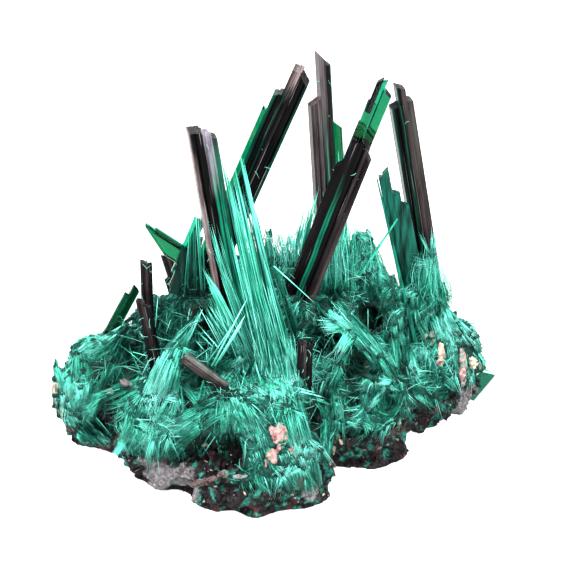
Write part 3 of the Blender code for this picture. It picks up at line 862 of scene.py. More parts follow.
# The greys and browns of these bands are painted reflections on the glossy faces; the teal is the crystal's
# own green, painted as the light that comes through thin edges.
# Colour bands across each prism's front: the upper and the lower part, as place in millimetres from the
# middle and colour, then the shares of the length between which the upper part turns into the lower.
BANDS = {
    "left_prism": (
        (
            (-0.9, ROSE_SHEEN), (-0.74, DIM_SHEEN), (-0.6, BLACK), (0.02, BLACK), (0.06, BROWN_SHEEN),
            (0.14, LILAC_SHEEN), (0.62, LILAC_SHEEN), (0.7, DIM_SHEEN), (1.0, BROWN_SHEEN),
        ),
        (
            (-0.9, tint(116, 102, 102)), (-0.62, tint(100, 86, 86)), (-0.55, BLACK), (0.1, BLACK),
            (0.2, DIM_SHEEN), (0.3, TEAL), (0.42, TEAL), (0.5, BLACK), (0.64, TEAL), (0.76, TEAL),
            (1.0, DEEP_TEAL),
        ),
        0.6,
        0.96,
    ),
    "back_left_prism": (
        (
            (-1.1, DEEP_TEAL), (-0.5, DIM_SHEEN), (-0.1, BROWN_SHEEN), (0.1, ROSE_SHEEN), (0.32, ROSE_SHEEN),
            (0.4, BLACK), (0.8, BLACK), (0.84, DIM_SHEEN), (0.9, BLACK),
        ),
        (
            (-1.1, DEEP_TEAL), (-0.7, DEEP_TEAL), (-0.55, BLACK), (-0.2, BLACK), (-0.14, DEEP_TEAL),
            (-0.05, BLACK), (0.3, DIM_SHEEN), (0.34, BLACK), (0.9, BLACK), (1.05, DEEP_TEAL),
        ),
        0.86,
        0.96,
    ),
    "back_prism": (
        (
            (-1.1, BROWN_SHEEN), (-0.75, tint(74, 66, 66)), (-0.45, BROWN_SHEEN), (-0.3, tint(84, 76, 77)),
            (0.05, tint(62, 57, 58)), (0.12, DIM_SHEEN), (0.4, DIM_SHEEN), (0.6, TEAL), (1.1, TEAL),
        ),
        (
            (-1.1, tint(70, 60, 62)), (-0.6, BROWN_SHEEN), (-0.4, tint(104, 100, 108)), (-0.34, DIM_SHEEN),
            (-0.1, TEAL), (0.02, DIM_SHEEN), (0.3, BROWN_SHEEN), (0.55, DEEP_TEAL), (1.1, TEAL),
        ),
        0.5,
        0.8,
    ),
    "front_prism": (
        (
            (-1.0, BLACK), (-0.5, BLACK), (-0.1, DIM_SHEEN), (-0.04, BLACK), (0.5, BLACK), (0.66, BROWN_SHEEN),
            (0.8, DIM_SHEEN),
        ),
        (
            (-1.0, BLACK), (-0.7, DIM_SHEEN), (-0.62, BLACK), (-0.3, BLACK), (-0.24, TEAL),
            (-0.1, DEEP_TEAL), (0.0, TEAL), (0.08, BLACK), (0.5, BLACK), (0.6, DIM_SHEEN), (0.8, BROWN_SHEEN),
        ),
        0.4,
        0.6,
    ),
    "right_prism": (
        (
            (-0.95, DEEP_TEAL), (-0.7, BLACK), (-0.35, BLACK), (-0.26, DEEP_TEAL), (-0.2, BLACK),
            (-0.05, BLACK), (0.04, BROWN_SHEEN), (0.5, tint(58, 56, 53)), (0.8, DIM_SHEEN),
        ),
        (
            (-0.95, BLACK), (-0.5, BLACK), (-0.4, DEEP_TEAL), (-0.3, BLACK), (0.0, BLACK),
            (0.15, tint(50, 38, 40)), (0.6, tint(40, 32, 34)), (0.8, BLACK),
        ),
        0.35,
        0.75,
    ),
    "lying_prism": (
        ((-0.5, DIM_SHEEN), (0.0, BROWN_SHEEN), (0.3, tint(96, 100, 94)), (0.6, BROWN_SHEEN)),
        ((-0.5, BLACK), (0.0, DIM_SHEEN), (0.3, tint(70, 78, 72)), (0.6, DIM_SHEEN)),
        0.2,
        0.8,
    ),
}
# The bands of the other prisms, with painted reflections in grey and brown as well.
PLAIN_BANDS = (
    ((-0.6, BLACK), (-0.3, DIM_SHEEN), (-0.2, BLACK), (0.1, BROWN_SHEEN), (0.18, BLACK), (0.5, DIM_SHEEN)),
    ((-0.6, BLACK), (-0.1, BLACK), (0.1, DIM_SHEEN), (0.2, BLACK), (0.5, BLACK)),
    0.3,
    0.8,
)
BAND_REACH = 1.3  # bands are set between this far left and right of a prism's middle


def shifted(points):
    """Points of the drawing frame as an array in the row frame's metres."""
    return (np.asarray(points, dtype=np.float64).reshape(-1, 3) + np.array(CENTRE)) * MM


def ray(u, v):
    """The way from the photo's camera through one of its pixels."""
    side = (u - VIEW_MIDDLE) / VIEW_SCALE
    rise = (VIEW_MIDDLE - v) / VIEW_SCALE
    cos, sin = math.cos(VIEW_TILT), math.sin(VIEW_TILT)
    return Vector((side, cos + rise * sin, rise * cos - sin)).normalized()


def at_depth(u, v, y):
    """The point that a pixel shows at a depth y."""
    way = ray(u, v)
    return EYE + way * ((y - EYE.y) / way.y)


# Materials


class Pattern:
    """Short ways to add nodes to a material or a group."""

    def __init__(self, tree):
        self.nodes = tree.nodes
        self.link = tree.links.new

    def feed(self, socket, value):
        """Gives a socket another socket, a number or a plain colour."""
        if isinstance(value, bpy.types.NodeSocket):
            self.link(value, socket)
        else:
            socket.default_value = (*value, 1.0) if isinstance(value, tuple) else value

    def mapped(self, vector, kind="POINT", **values):
        """Coordinates moved, turned and stretched by a Mapping node's own inputs."""
        mapping = self.nodes.new("ShaderNodeMapping")
        mapping.vector_type = kind
        for label, value in values.items():
            mapping.inputs[label].default_value = value
        self.link(vector, mapping.inputs["Vector"])
        return mapping.outputs["Vector"]

    def group(self, tree, **values):
        """Places a group, with a socket or a number for each of its inputs, and gives its outputs."""
        made = self.nodes.new("ShaderNodeGroup")
        made.node_tree = tree
        for label, value in values.items():
            self.feed(made.inputs[label], value)
        return made.outputs

    def stain(self, vector, scale, low, high, detail=4.0):
        """A mask of patches."""
        return self.group(STAIN, Vector=vector, Scale=scale, Detail=detail, Low=low, High=high)["Mask"]

    def stretched_stain(self, vector, stretch, low, high, detail=4.0):
        """A mask of patches that are stretched along the axes."""
        return self.stain(self.mapped(vector, Scale=stretch), 1.0, low, high, detail)

    def ramp(self, value, *stops):
        """Colours along a value: stops are place and colour."""
        made = self.nodes.new("ShaderNodeValToRGB")
        steps = made.color_ramp.elements
        while len(steps) < len(stops):
            steps.new(0.5)
        for step, (place, colour) in zip(steps, stops):
            step.position = place
            step.color = (*colour, 1.0)
        self.link(value, made.inputs["Fac"])
        return made.outputs["Color"]

    def between(self, value, low, high, kind="LINEAR"):
        """A value's share of the way from low to high."""
        made = self.nodes.new("ShaderNodeMapRange")
        made.interpolation_type = kind
        self.feed(made.inputs["From Min"], low)
        self.feed(made.inputs["From Max"], high)
        self.feed(made.inputs["Value"], value)
        return made.outputs["Result"]

    def sums(self, kind, first, second):
        """Two values added or multiplied. Either may be a socket or a number."""
        made = self.nodes.new("ShaderNodeMath")
        made.operation = kind
        for socket, value in zip(made.inputs, (first, second)):
            self.feed(socket, value)
        return made.outputs["Value"]

    def mix(self, mask, first, second, kind="MIX"):
        """Two colours mixed by a mask. Either may be a socket or a plain colour."""
        made = self.nodes.new("ShaderNodeMix")
        made.data_type = "RGBA"
        made.blend_type = kind
        for label, value in (("Factor_Float", mask), ("A_Color", first), ("B_Color", second)):
            self.feed(next(item for item in made.inputs if item.identifier == label), value)
        return next(item for item in made.outputs if item.identifier == "Result_Color")

    def dulled(self, mask, colour, shade):
        """A colour that is multiplied by a shade where the mask is 0, or all over with no mask."""
        dark = self.mix(1.0, colour, shade, "MULTIPLY")
        return dark if mask is None else self.mix(mask, dark, colour)


class Group(Pattern):
    """A shader node group with named inputs and outputs."""

    def __init__(self, name, inputs, outputs):
        self.tree = bpy.data.node_groups.new(name, "ShaderNodeTree")
        super().__init__(self.tree)
        for label, kind, value in inputs:
            socket = self.tree.interface.new_socket(label, in_out="INPUT", socket_type=f"NodeSocket{kind}")
            if value is not None:
                socket.default_value = value
        for label, kind in outputs:
            self.tree.interface.new_socket(label, in_out="OUTPUT", socket_type=f"NodeSocket{kind}")
        self.given = self.nodes.new("NodeGroupInput").outputs
        self.made = self.nodes.new("NodeGroupOutput").inputs


def stain_group():
    """Patches with soft or sharp edges: a mask that grows from Low to High."""
    inputs = (
        ("Vector", "Vector", None),
        ("Scale", "Float", 500.0),
        ("Detail", "Float", 4.0),
        ("Low", "Float", 0.5),
        ("High", "Float", 0.6),
    )
    group = Group("Stain", inputs, (("Mask", "Float"),))
    cloud = group.nodes.new("ShaderNodeTexNoise")
    for label in ("Vector", "Scale", "Detail"):
        group.link(group.given[label], cloud.inputs[label])
    mask = group.between(cloud.outputs["Fac"], group.given["Low"], group.given["High"], "SMOOTHSTEP")
    group.link(mask, group.made["Mask"])
    return group.tree


def crystal_bands_group():
    """Where the colour bands of a crystal lie: place across it, and a mask that grows up its length."""
    inputs = (("Vector", "Vector", None), ("Low", "Float", 0.3), ("High", "Float", 0.8))
    group = Group("Crystal bands", inputs, (("Across", "Float"), ("Upper", "Float")))
    where = group.given["Vector"]
    parts = group.nodes.new("ShaderNodeSeparateXYZ")
    group.link(where, parts.inputs["Vector"])
    sway = group.stretched_stain(where, (0.6, 0.6, 5.0), 0.2, 0.8, 2.0)
    across = group.between(parts.outputs["X"], -BAND_REACH, BAND_REACH)
    group.link(group.sums("ADD", across, group.sums("MULTIPLY", sway, SWAY)), group.made["Across"])
    cloud = group.stretched_stain(where, (3.0, 3.0, 6.0), 0.2, 0.8)
    patchy = group.sums("ADD", parts.outputs["Z"], group.sums("MULTIPLY", cloud, 2 * BAND_FRAY))
    group.link(group.between(patchy, group.given["Low"], group.given["High"]), group.made["Upper"])
    return group.tree


def crystal_lines_group():
    """Fine lines along a crystal, with dull patches and pale scratches. Height is for the relief."""
    inputs = (("Vector", "Vector", None), ("Color", "Color", None))
    group = Group("Crystal lines", inputs, (("Color", "Color"), ("Height", "Float")))
    where = group.given["Vector"]
    lines = group.stretched_stain(where, (9.0, 9.0, 0.5), 0.3, 0.7)
    lined = group.dulled(lines, group.given["Color"], (0.35, 0.35, 0.36))
    worn = group.stretched_stain(where, (1.6, 1.6, 7.0), 0.3, 0.62, 5.0)
    scratch = group.stretched_stain(where, (14.0, 14.0, 2.4), 0.69, 0.73, 1.0)
    colour = group.dulled(worn, lined, (0.4, 0.4, 0.42))
    scratched = group.mix(group.sums("MULTIPLY", scratch, 0.5), colour, (0.2, 0.2, 0.2))
    group.link(scratched, group.made["Color"])
    group.link(lines, group.made["Height"])
    return group.tree


STAIN = stain_group()
CRYSTAL_BANDS = crystal_bands_group()
CRYSTAL_LINES = crystal_lines_group()


class Look(Pattern):
    """A material with a Principled shader."""

    def __init__(self, name, roughness, **values):
        self.material = bpy.data.materials.new(name)
        self.material.use_nodes = True
        super().__init__(self.material.node_tree)
        self.shader = self.nodes["Principled BSDF"]
        self.shader.inputs["Roughness"].default_value = roughness
        for label, value in values.items():
            self.shader.inputs[label.replace("_", " ")].default_value = value

    def whereabouts(self):
        """Object coordinates."""
        return self.nodes.new("ShaderNodeTexCoord").outputs["Object"]

    def places(self, turn=(0.0, 0.0, 0.0), stretch=(1.0, 1.0, 1.0)):
        """Object coordinates, turned and stretched."""
        return self.mapped(self.whereabouts(), Rotation=turn, Scale=stretch)

    def crystal_places(self, place, length):
        """Coordinates along a crystal: millimetres across and into it, and share of its length."""
        return self.mapped(
            self.whereabouts(),
            "TEXTURE",
            Location=(place.translation + CENTRE) * MM,
            Rotation=tuple(place.to_euler()),
            Scale=(MM, MM, length * MM),
        )

    def attribute(self, name):
        """A value stored on the mesh."""
        made = self.nodes.new("ShaderNodeAttribute")
        made.attribute_name = name
        return made.outputs["Fac"]

    def bump(self, height, strength, distance):
        """Relief from a height."""
        made = self.nodes.new("ShaderNodeBump")
        made.inputs["Strength"].default_value = strength
        made.inputs["Distance"].default_value = distance
        self.link(height, made.inputs["Height"])
        self.link(made.outputs["Normal"], self.shader.inputs["Normal"])

    def colour(self, socket):
        """Feeds the base colour."""
        self.link(socket, self.shader.inputs["Base Color"])


def needle_look():
    """Fine needles, from deep to pale green by their tone, which holds random tone of their own and also
    painted light and shade.
    """
    look = Look("green needles", 0.4, IOR=1.5, Specular_IOR_Level=0.06)
    tone = look.attribute("tone")
    green = look.ramp(
        tone,
        (0.0, (0.0003, 0.006, 0.004)),
        (0.2, (0.002, 0.04, 0.028)),
        (0.45, (0.03, 0.26, 0.19)),
        (0.7, (0.15, 0.66, 0.53)),
        (0.9, (0.28, 0.88, 0.78)),
        (1.0, (0.5, 0.95, 0.9)),
    )
    patch = look.stain(look.places(), 420.0, 0.42, 0.6)
    look.colour(look.mix(patch, green, look.dulled(None, green, (0.5, 0.8, 0.72))))
    return look.material


def crust_look():
    """The mass under the needles: deep green and combed, painted nearly black in the hollows as shade."""
    look = Look("green crust", 0.6, IOR=1.5, Specular_IOR_Level=0.08)
    where = look.places()
    combed = look.places(stretch=(1.0, 1.0, 0.25))
    streak = look.stain(combed, 5200.0, 0.3, 0.72, 3.0)
    patch = look.stain(where, 650.0, 0.4, 0.62)
    low = look.mix(streak, (0.0004, 0.004, 0.003), (0.0015, 0.022, 0.016))
    high = look.mix(streak, (0.0008, 0.012, 0.009), (0.005, 0.06, 0.045))
    green = look.mix(patch, low, high)
    # painted shade: nearly black deep in the hollows
    deep = look.mix(streak, (0.0006, 0.0015, 0.0013), (0.0008, 0.009, 0.006))
    look.colour(look.mix(look.attribute("hollow"), green, deep))
    look.bump(streak, 0.6, 0.00006)
    return look.material


def rock_look():
    """Dark rock with brown, purple and green stains, pale flecks and smooth grey patches."""
    look = Look("dark rock", 0.6, IOR=1.45, Specular_IOR_Level=0.06)
    where = look.places()
    grain = look.stain(where, 4200.0, 0.3, 0.7, 3.0)
    base = look.mix(grain, (0.0006, 0.0006, 0.0008), (0.014, 0.011, 0.012))
    brown = look.mix(look.stain(where, 900.0, 0.54, 0.66), base, (0.035, 0.016, 0.017))
    moss = look.stain(look.places(turn=(0.4, 0.2, 0.9)), 1100.0, 0.52, 0.62, 6.0)
    green = look.mix(moss, brown, look.mix(grain, (0.002, 0.022, 0.017), (0.02, 0.13, 0.1)))
    flecks = look.stain(look.places(turn=(1.2, 0.5, 0.1)), 2600.0, 0.71, 0.75)
    flecked = look.mix(flecks, green, (0.2, 0.19, 0.19))
    grey = look.mix(grain, (0.05, 0.047, 0.049), (0.12, 0.113, 0.118))
    look.colour(look.mix(look.attribute("grey"), flecked, grey))
    look.bump(grain, 0.5, 0.0001)
    return look.material


def grain_look():
    """Pink, cream, grey and brown grains, by their own tone."""
    look = Look("pale mineral", 0.55, IOR=1.5)
    plain = look.ramp(
        look.attribute("tone"),
        (0.0, tint(134, 88, 94)),
        (0.2, tint(148, 110, 104)),
        (0.4, tint(178, 166, 142)),
        (0.7, tint(112, 106, 110)),
        (1.0, tint(58, 34, 33)),
    )
    where = look.places()
    rough = look.stain(where, 3000.0, 0.35, 0.65, 5.0)
    spots = look.stain(look.places(turn=(0.3, 1.0, 0.2)), 1500.0, 0.48, 0.6)
    shade = look.dulled(rough, plain, (0.45, 0.4, 0.42))
    rusty = look.stain(look.places(turn=(0.9, 0.1, 0.5)), 1500.0, 0.5, 0.66)
    red = look.mix(rusty, shade, look.dulled(None, shade, (0.6, 0.3, 0.33)))
    look.colour(look.mix(look.sums("MULTIPLY", spots, 0.7), red, (0.03, 0.12, 0.09)))
    look.bump(rough, 0.6, 0.0001)
    return look.material


def prism_look(name, place, length, bands):
    """Dark glossy crystal with fine lines along its length, coloured in bands across it, among them painted
    reflections.
    """
    look = Look(f"dark crystal {name}", 0.2, IOR=1.5, Specular_IOR_Level=0.03)
    where = look.crystal_places(place, length)
    upper, lower, low, high = bands
    spread = look.group(CRYSTAL_BANDS, Vector=where, Low=low + BAND_FRAY, High=high + BAND_FRAY)
    colours = []
    for stops in (upper, lower):
        # places across are half of the sway too high on the average, so the bands are as well
        shares = ((0.5 + SWAY / 2 + x / (2 * BAND_REACH), colour) for x, colour in stops)
        colours.append(look.ramp(spread["Across"], *shares))
    banded = look.mix(spread["Upper"], colours[1], colours[0])
    lined = look.group(CRYSTAL_LINES, Vector=where, Color=banded)
    look.colour(lined["Color"])
    look.bump(lined["Height"], 0.3, 0.00004)
    return look.material


def clear_look(name, soak_colour, density):
    """Clear green crystal that darkens with its thickness."""
    look = Look(name, 0.05, IOR=1.25, Transmission_Weight=1.0)
    where = look.places()
    haze = look.stain(where, 900.0, 0.45, 0.75)
    look.colour(look.mix(haze, (1.0, 1.0, 1.0), (0.75, 0.95, 0.88)))
    soak = look.nodes.new("ShaderNodeVolumeAbsorption")
    soak.inputs["Color"].default_value = (*soak_colour, 1.0)
    soak.inputs["Density"].default_value = density
    look.link(soak.outputs["Volume"], look.nodes["Material Output"].inputs["Volume"])
    return look.material


def streaked_look(name, low, high):
    """Crystal that is too dark to see through, streaked along its length."""
    look = Look(name, 0.3, IOR=1.5, Specular_IOR_Level=0.06)
    streak = look.stain(look.places(stretch=(1.0, 1.0, 0.1)), 3000.0, 0.3, 0.7)
    look.colour(look.mix(streak, low, high))
    return look.material


# Mesh work that the pieces share


def placed(name, data):
    """A new object of the scene."""
    obj = bpy.data.objects.new(name, data)
    bpy.context.scene.collection.objects.link(obj)
    return obj


def object_from(bm, name):
    """Turns a bmesh into an object of the scene."""
    mesh = bpy.data.meshes.new(name)
    bm.to_mesh(mesh)
    bm.free()
    return placed(name, mesh)


def apply_modifiers(obj):
    """Keeps what the object's modifiers make as its own mesh."""
    graph = bpy.context.evaluated_depsgraph_get()
    made = bpy.data.meshes.new_from_object(obj.evaluated_get(graph))
    obj.modifiers.clear()
    obj.data = made


def combine(obj, other, kind):
    """Joins a second body to the first, or cuts it away."""
    change = obj.modifiers.new("Combine", "BOOLEAN")
    change.operation = kind
    change.object = other
    apply_modifiers(obj)


def reskin(obj, voxel):
    """Gives a body an even skin."""
    skin = obj.modifiers.new("Skin", "REMESH")
    skin.mode = "VOXEL"
    skin.voxel_size = voxel
    apply_modifiers(obj)


def soften(obj, times):
    """Evens a body out, which also draws thin spires in."""
    smooth = obj.modifiers.new("Soften", "SMOOTH")
    smooth.factor = 0.5
    smooth.iterations = times
    apply_modifiers(obj)


def keep_large(obj, least):
    """Drops loose bits with fewer than a number of points."""
    bm = bmesh.new()
    bm.from_mesh(obj.data)
    left = set(bm.verts)
    drop = []
    while left:
        island = [left.pop()]
        for vert in island:
            for edge in vert.link_edges:
                other = edge.other_vert(vert)
                if other in left:
                    left.remove(other)
                    island.append(other)
        if len(island) < least:
            drop += island
    bmesh.ops.delete(bm, geom=drop, context="VERTS")
    bm.to_mesh(obj.data)
    bm.free()


def settle(obj, material, slot, *nodes):
    """Finishes a piece: its material, the body it rides on and the solids it stands for. The slot is not
    used.
    """
    obj.data.materials.clear()
    obj.data.materials.append(material)
    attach(obj, "root")
    if nodes:
        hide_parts(*nodes)


def solid_copy(node, name):
    """A merged copy of a solid, in millimetres of the drawing frame."""
    bm = bmesh.new()
    bm.from_mesh(bpy.data.objects[node].data)
    back = Matrix.Translation(-CENTRE) @ Matrix.Scale(1.0 / MM, 4)
    bmesh.ops.transform(bm, matrix=back, verts=bm.verts[:])
    bmesh.ops.remove_doubles(bm, verts=bm.verts[:], dist=0.0001)
    return object_from(bm, name)


def displace(obj, relief):
    """Moves each point of a mesh as relief says."""
    mesh = obj.data
    normals = [vert.normal.copy() for vert in mesh.vertices]
    for vert, normal in zip(mesh.vertices, normals):
        vert.co = relief(vert.co.copy(), normal)


def add_values(obj, name, values):
    """Stores one number for each point of a mesh."""
    layer = obj.data.attributes.new(name, "FLOAT", "POINT")
    layer.data.foreach_set("value", np.asarray(values, dtype=np.float32))


def to_metres(obj):
    """Brings a mesh from the drawing frame to the row frame."""
    obj.data.transform(Matrix.Scale(MM, 4) @ Matrix.Translation(CENTRE))


class Ground:
    """Some bodies together, to find places on them."""

    def __init__(self, *bodies):
        bm = bmesh.new()
        for body in bodies:
            bm.from_mesh(body.data)
        self.tree = BVHTree.FromBMesh(bm)
        bm.free()

    def seen(self, u, v, strict=False):
        """The point and normal that a pixel shows, or those nearest to it beside the outline."""
        way = ray(u, v)
        spot, normal, _, _ = self.tree.ray_cast(EYE, way)
        if spot is not None:
            return spot, normal
        if strict:
            return None, None
        probes = (EYE + way * (VIEW_AWAY + step) for step in range(-22, 23))
        best = min((self.tree.find_nearest(probe) for probe in probes), key=lambda found: found[3])
        return best[0], best[1]

    def gap(self, point):
        """How far outside the surface a point is, and 0 inside it."""
        near, normal, _, far = self.tree.find_nearest(point)
        return far if (Vector(point) - near).dot(normal) > 0.0 else 0.0


# Rock and crust


def view_place(spot, half_wide, half_high, depth, turn=0.0):
    """Sets a unit ball as an ellipsoid seen with a half width and half height in pixels."""
    axes = Matrix.Rotation(math.pi / 2 - VIEW_TILT, 4, "X") @ Matrix.Rotation(math.radians(turn), 4, "Z")
    sizes = Matrix.Diagonal((half_wide * PIXEL, half_high * PIXEL, depth, 1.0))
    return Matrix.Translation(spot) @ axes @ sizes


def hollow_cutter(ground):
    """One body that cuts every hollow."""
    bm = bmesh.new()
    for (u, v), (half_wide, half_high), depth in HOLLOWS_SEEN:
        spot, _ = ground.seen(u, v)
        place = view_place(spot + ray(u, v) * depth * 0.3, half_wide, half_high, depth)
        bmesh.ops.create_icosphere(bm, subdivisions=3, radius=1.0, matrix=place)
    for spot, radius in HOLLOWS_BEHIND:
        bmesh.ops.create_icosphere(bm, subdivisions=3, radius=radius, matrix=Matrix.Translation(spot))
    cutter = object_from(bm, "hollows")
    reskin(cutter, HOLLOW_SKIN)
    displace(cutter, lambda point, normal: point + normal * 0.45 * (noise.noise(point / 0.8) - 0.1))
    reskin(cutter, HOLLOW_SKIN)
    return cutter


def cords(ground):
    """Balls along the raised cords of the crust."""
    bm = bmesh.new()
    for radius, pixels in CORDS:
        for (u1, v1), (u2, v2) in zip(pixels, pixels[1:]):
            steps = max(2, round(math.hypot(u2 - u1, v2 - v1) / 3.2))
            for step in range(steps):
                share = step / steps
                spot, normal = ground.seen(u1 + (u2 - u1) * share, v1 + (v2 - v1) * share)
                size = radius * (1.0 + 0.35 * noise.noise(spot / 0.6))
                place = Matrix.Translation(spot + normal * radius * 0.35)
                bmesh.ops.create_icosphere(bm, subdivisions=1, radius=size, matrix=place)
    return bm


def rock_relief(point, normal):
    """Ledges and cracks of the rock. The flat underside stays."""
    if point.z < 0.12:
        return point
    ledge = noise.cell(point / 1.1 + Vector((3.1, 1.7, 0.4)))
    crag = noise.turbulence(point / 1.3, 3, False)
    fine = noise.noise(point / 0.3)
    return point + normal * (0.3 * (ledge - 0.4) + 0.6 * (crag - 0.4) + 0.14 * fine)


def crust_relief(point, normal):
    """Ridges and pits of the matted crust."""
    broad = 0.5 - abs(noise.noise(point / 2.4 + Vector((2.0, 7.0, 1.0)))) * 2.2
    ridge = 0.5 - abs(noise.noise(point / 1.1 + Vector((5.0, 1.0, 3.0)))) * 2.2
    fine = noise.turbulence(point / 0.5, 2, False)
    return point + normal * (0.1 + 0.3 * broad + 0.32 * ridge + 0.35 * (fine - 0.5))


def trim_tufts(crust):
    """Cuts away plain tufts, to make room for the fine needles."""
    bm = bmesh.new()
    for place, radius in TUFTS:
        ball = bmesh.ops.create_icosphere(bm, subdivisions=2, radius=radius)["verts"]
        bmesh.ops.translate(bm, vec=place, verts=ball)
    trimmer = object_from(bm, "trimmer")
    combine(crust, trimmer, "DIFFERENCE")
    bpy.data.objects.remove(trimmer)


def is_grey(point):
    """Whether a point of the rock lies in a smooth grey patch."""
    share = 0.75 - 0.3 * noise.noise(point / 0.7)
    return any((point - Vector(place)).length < radius * share for place, radius in GREY_ON_ROCK)


def make_ground():
    """The rock and the crust with their hollows and cords, in place of their plain solids."""
    rock = solid_copy("matrix", "rock")
    crust = solid_copy("fibre_crust", "crust")
    before = Ground(rock, crust)
    cutter = hollow_cutter(before)
    combine(crust, cutter, "DIFFERENCE")
    combine(rock, cutter, "DIFFERENCE")
    bm = cords(before)
    bm.from_mesh(crust.data)
    bm.to_mesh(crust.data)
    bm.free()
    reskin(rock, SKIN)
    displace(rock, rock_relief)
    reskin(crust, SKIN)
    soften(crust, 14)
    displace(crust, crust_relief)
    cut = Ground(cutter)
    bpy.data.objects.remove(cutter)
    trim_tufts(crust)
    for body in (rock, crust):
        keep_large(body, LOOSE_BIT)
        # how deep each point lies in a hollow, which the crust's material darkens as painted shade
        depth = [max(0.0, min(1.0, 1.9 - 3.2 * cut.gap(vert.co))) for vert in body.data.vertices]
        add_values(body, "hollow", depth)
    rock.data.shade_flat()
    crust.data.shade_smooth()
    add_values(rock, "grey", [is_grey(vert.co) for vert in rock.data.vertices])
    return rock, crust, cut


def nearness(zones, u, v):
    """How near a pixel lies to the middle of some zones, from 0 outside to 1 in the middle."""
    return max(max(0.0, 1.0 - math.hypot((u - x) / wide, (v - y) / high)) for (x, y), (wide, high) in zones)


def light_at(u, v):
    """How pale the felt is painted at a pixel: 0.08 as painted shade in a deep recess, 1 beside the zones,
    1.8 as a painted highlight on a lit ridge.
    """
    dark = min(1.0, RECESS_EDGE * nearness(RECESSES, u, v))
    pale = min(1.0, RIDGE_EDGE * nearness(LIT_RIDGES, u, v))
    return (1.0 - RECESS_SHADE * dark) * (1.0 + RIDGE_GAIN * pale)


def on_grain(u, v):
    """Whether a pixel lies on one of the pale grains."""
    for (middle_u, middle_v), (wide, high), _, _ in GRAINS_SEEN:
        if math.hypot((u - middle_u) / wide, (v - middle_v) / high) < 0.85:
            return True
    return False


def pixel_of(point):
    """The pixel that shows a point."""
    way = Vector(point) - EYE
    cos, sin = math.cos(VIEW_TILT), math.sin(VIEW_TILT)
    away = way.y * cos - way.z * sin
    scale = VIEW_SCALE / away
    return VIEW_MIDDLE + way.x * scale, VIEW_MIDDLE - (way.y * sin + way.z * cos) * scale


def make_grains(ground, material):
    """Lumps of pale and brown minerals."""
    bm = bmesh.new()
    tones = []
    for (u, v), (half_wide, half_high), turn, tone in GRAINS_SEEN:
        spot, normal = ground.seen(u, v)
        place = view_place(spot + normal * 0.05, half_wide * 1.1, half_high * 1.1, 0.4, turn)
        made = bmesh.ops.create_icosphere(bm, subdivisions=4, radius=1.0, matrix=place)["verts"]
        for vert in made:
            away = vert.co - spot
            crumb = noise.turbulence(vert.co / 0.5, 3, False) - 0.45
            chip = noise.cell(vert.co / 0.35) - 0.5
            vert.co += away.normalized() * (0.2 * crumb + 0.1 * chip)
        tones += [tone + 0.05 * noise.noise(vert.co / 0.4) for vert in made]
    bm.verts.index_update()
    grains = object_from(bm, "pale_grains")
    add_values(grains, "tone", np.clip(tones, 0.0, 1.0))
    to_metres(grains)
    settle(grains, material, "rock")


# Prisms and blades


def along(root, tip, turn):
    """The place of a shape that is modelled along +Z from 0, set from root towards tip."""
    line = (Vector(tip) - Vector(root)).normalized()
    side = (Vector((1.0, 0.0, 0.0)) - line * line.x).normalized()
    deep = line.cross(side)
    axes = Matrix((side, deep, line)).transposed().to_4x4()
    return Matrix.Translation(root) @ axes @ Matrix.Rotation(math.radians(turn), 4, "Z")


def slab(width, depth, low, high, fall):
    """One thin upright slab with small chamfers and a slanting end."""
    bm = bmesh.new()
    bmesh.ops.create_cube(bm, size=1.0)
    bmesh.ops.scale(bm, vec=(width, depth, high - low), verts=bm.verts[:])
    bmesh.ops.translate(bm, vec=(0.0, 0.0, (high + low) / 2), verts=bm.verts[:])
    half = (high - low) / 2
    upright = [edge for edge in bm.edges if abs((edge.verts[0].co - edge.verts[1].co).z) > half]
    cut = min(0.22 * width, 0.1)
    bmesh.ops.bevel(bm, geom=upright, offset=cut, segments=1, profile=0.5, affect="EDGES", material=-1)
    for vert in bm.verts:
        if vert.co.z > (high + low) / 2:
            vert.co.z -= fall * vert.co.x
    return bm


def slabs_of(root, tip, turn, columns, rng, low=0.0, most=1.0, thin=1.0, width_of_slab=SLAB):
    """The columns of a crystal, each split into slabs that step against one another.

    They run from low in millimetres to their ends, or to the share most of the length, and thin
    is the share of their depth.
    """
    length = (Vector(tip) - Vector(root)).length
    place = along(root, tip, turn)
    made = []
    for across, deep, width, depth, end, fall in columns:
        high = length * min(end, most)
        if high <= low + 0.2:
            continue
        count = max(1, round(width / width_of_slab))
        cuts = [0.0] + sorted((step + rng.uniform(-0.3, 0.3)) / count for step in range(1, count)) + [1.0]
        for index, (left, right) in enumerate(zip(cuts, cuts[1:])):
            middle = ((left + right) / 2 - 0.5) * width
            edge = index in (0, count - 1)
            back = rng.uniform(0.0, GROOVE)
            front = rng.uniform(0.0, GROOVE)
            wide = (right - left) * width + (0.0 if edge else 0.013) + rng.uniform(0.0, 0.004)
            top = high - fall * middle - rng.choice((0.0, 0.01, 0.03, 0.12))
            tall = slab(wide, depth * thin - back - front, low - rng.uniform(0.0, 0.1), top, fall)
            aside = (across + middle, deep + (front - back) / 2, 0.0)
            bmesh.ops.translate(tall, vec=aside, verts=tall.verts[:])
            bmesh.ops.transform(tall, matrix=place, verts=tall.verts[:])
            made.append(tall)
    return made


def joined(name, shapes):
    """Closed shapes that overlap, joined in one body."""
    first, *rest = [object_from(shape, name) for shape in shapes]
    for other in rest:
        combine(first, other, "UNION")
        bpy.data.objects.remove(other)
    first.name = name
    return first


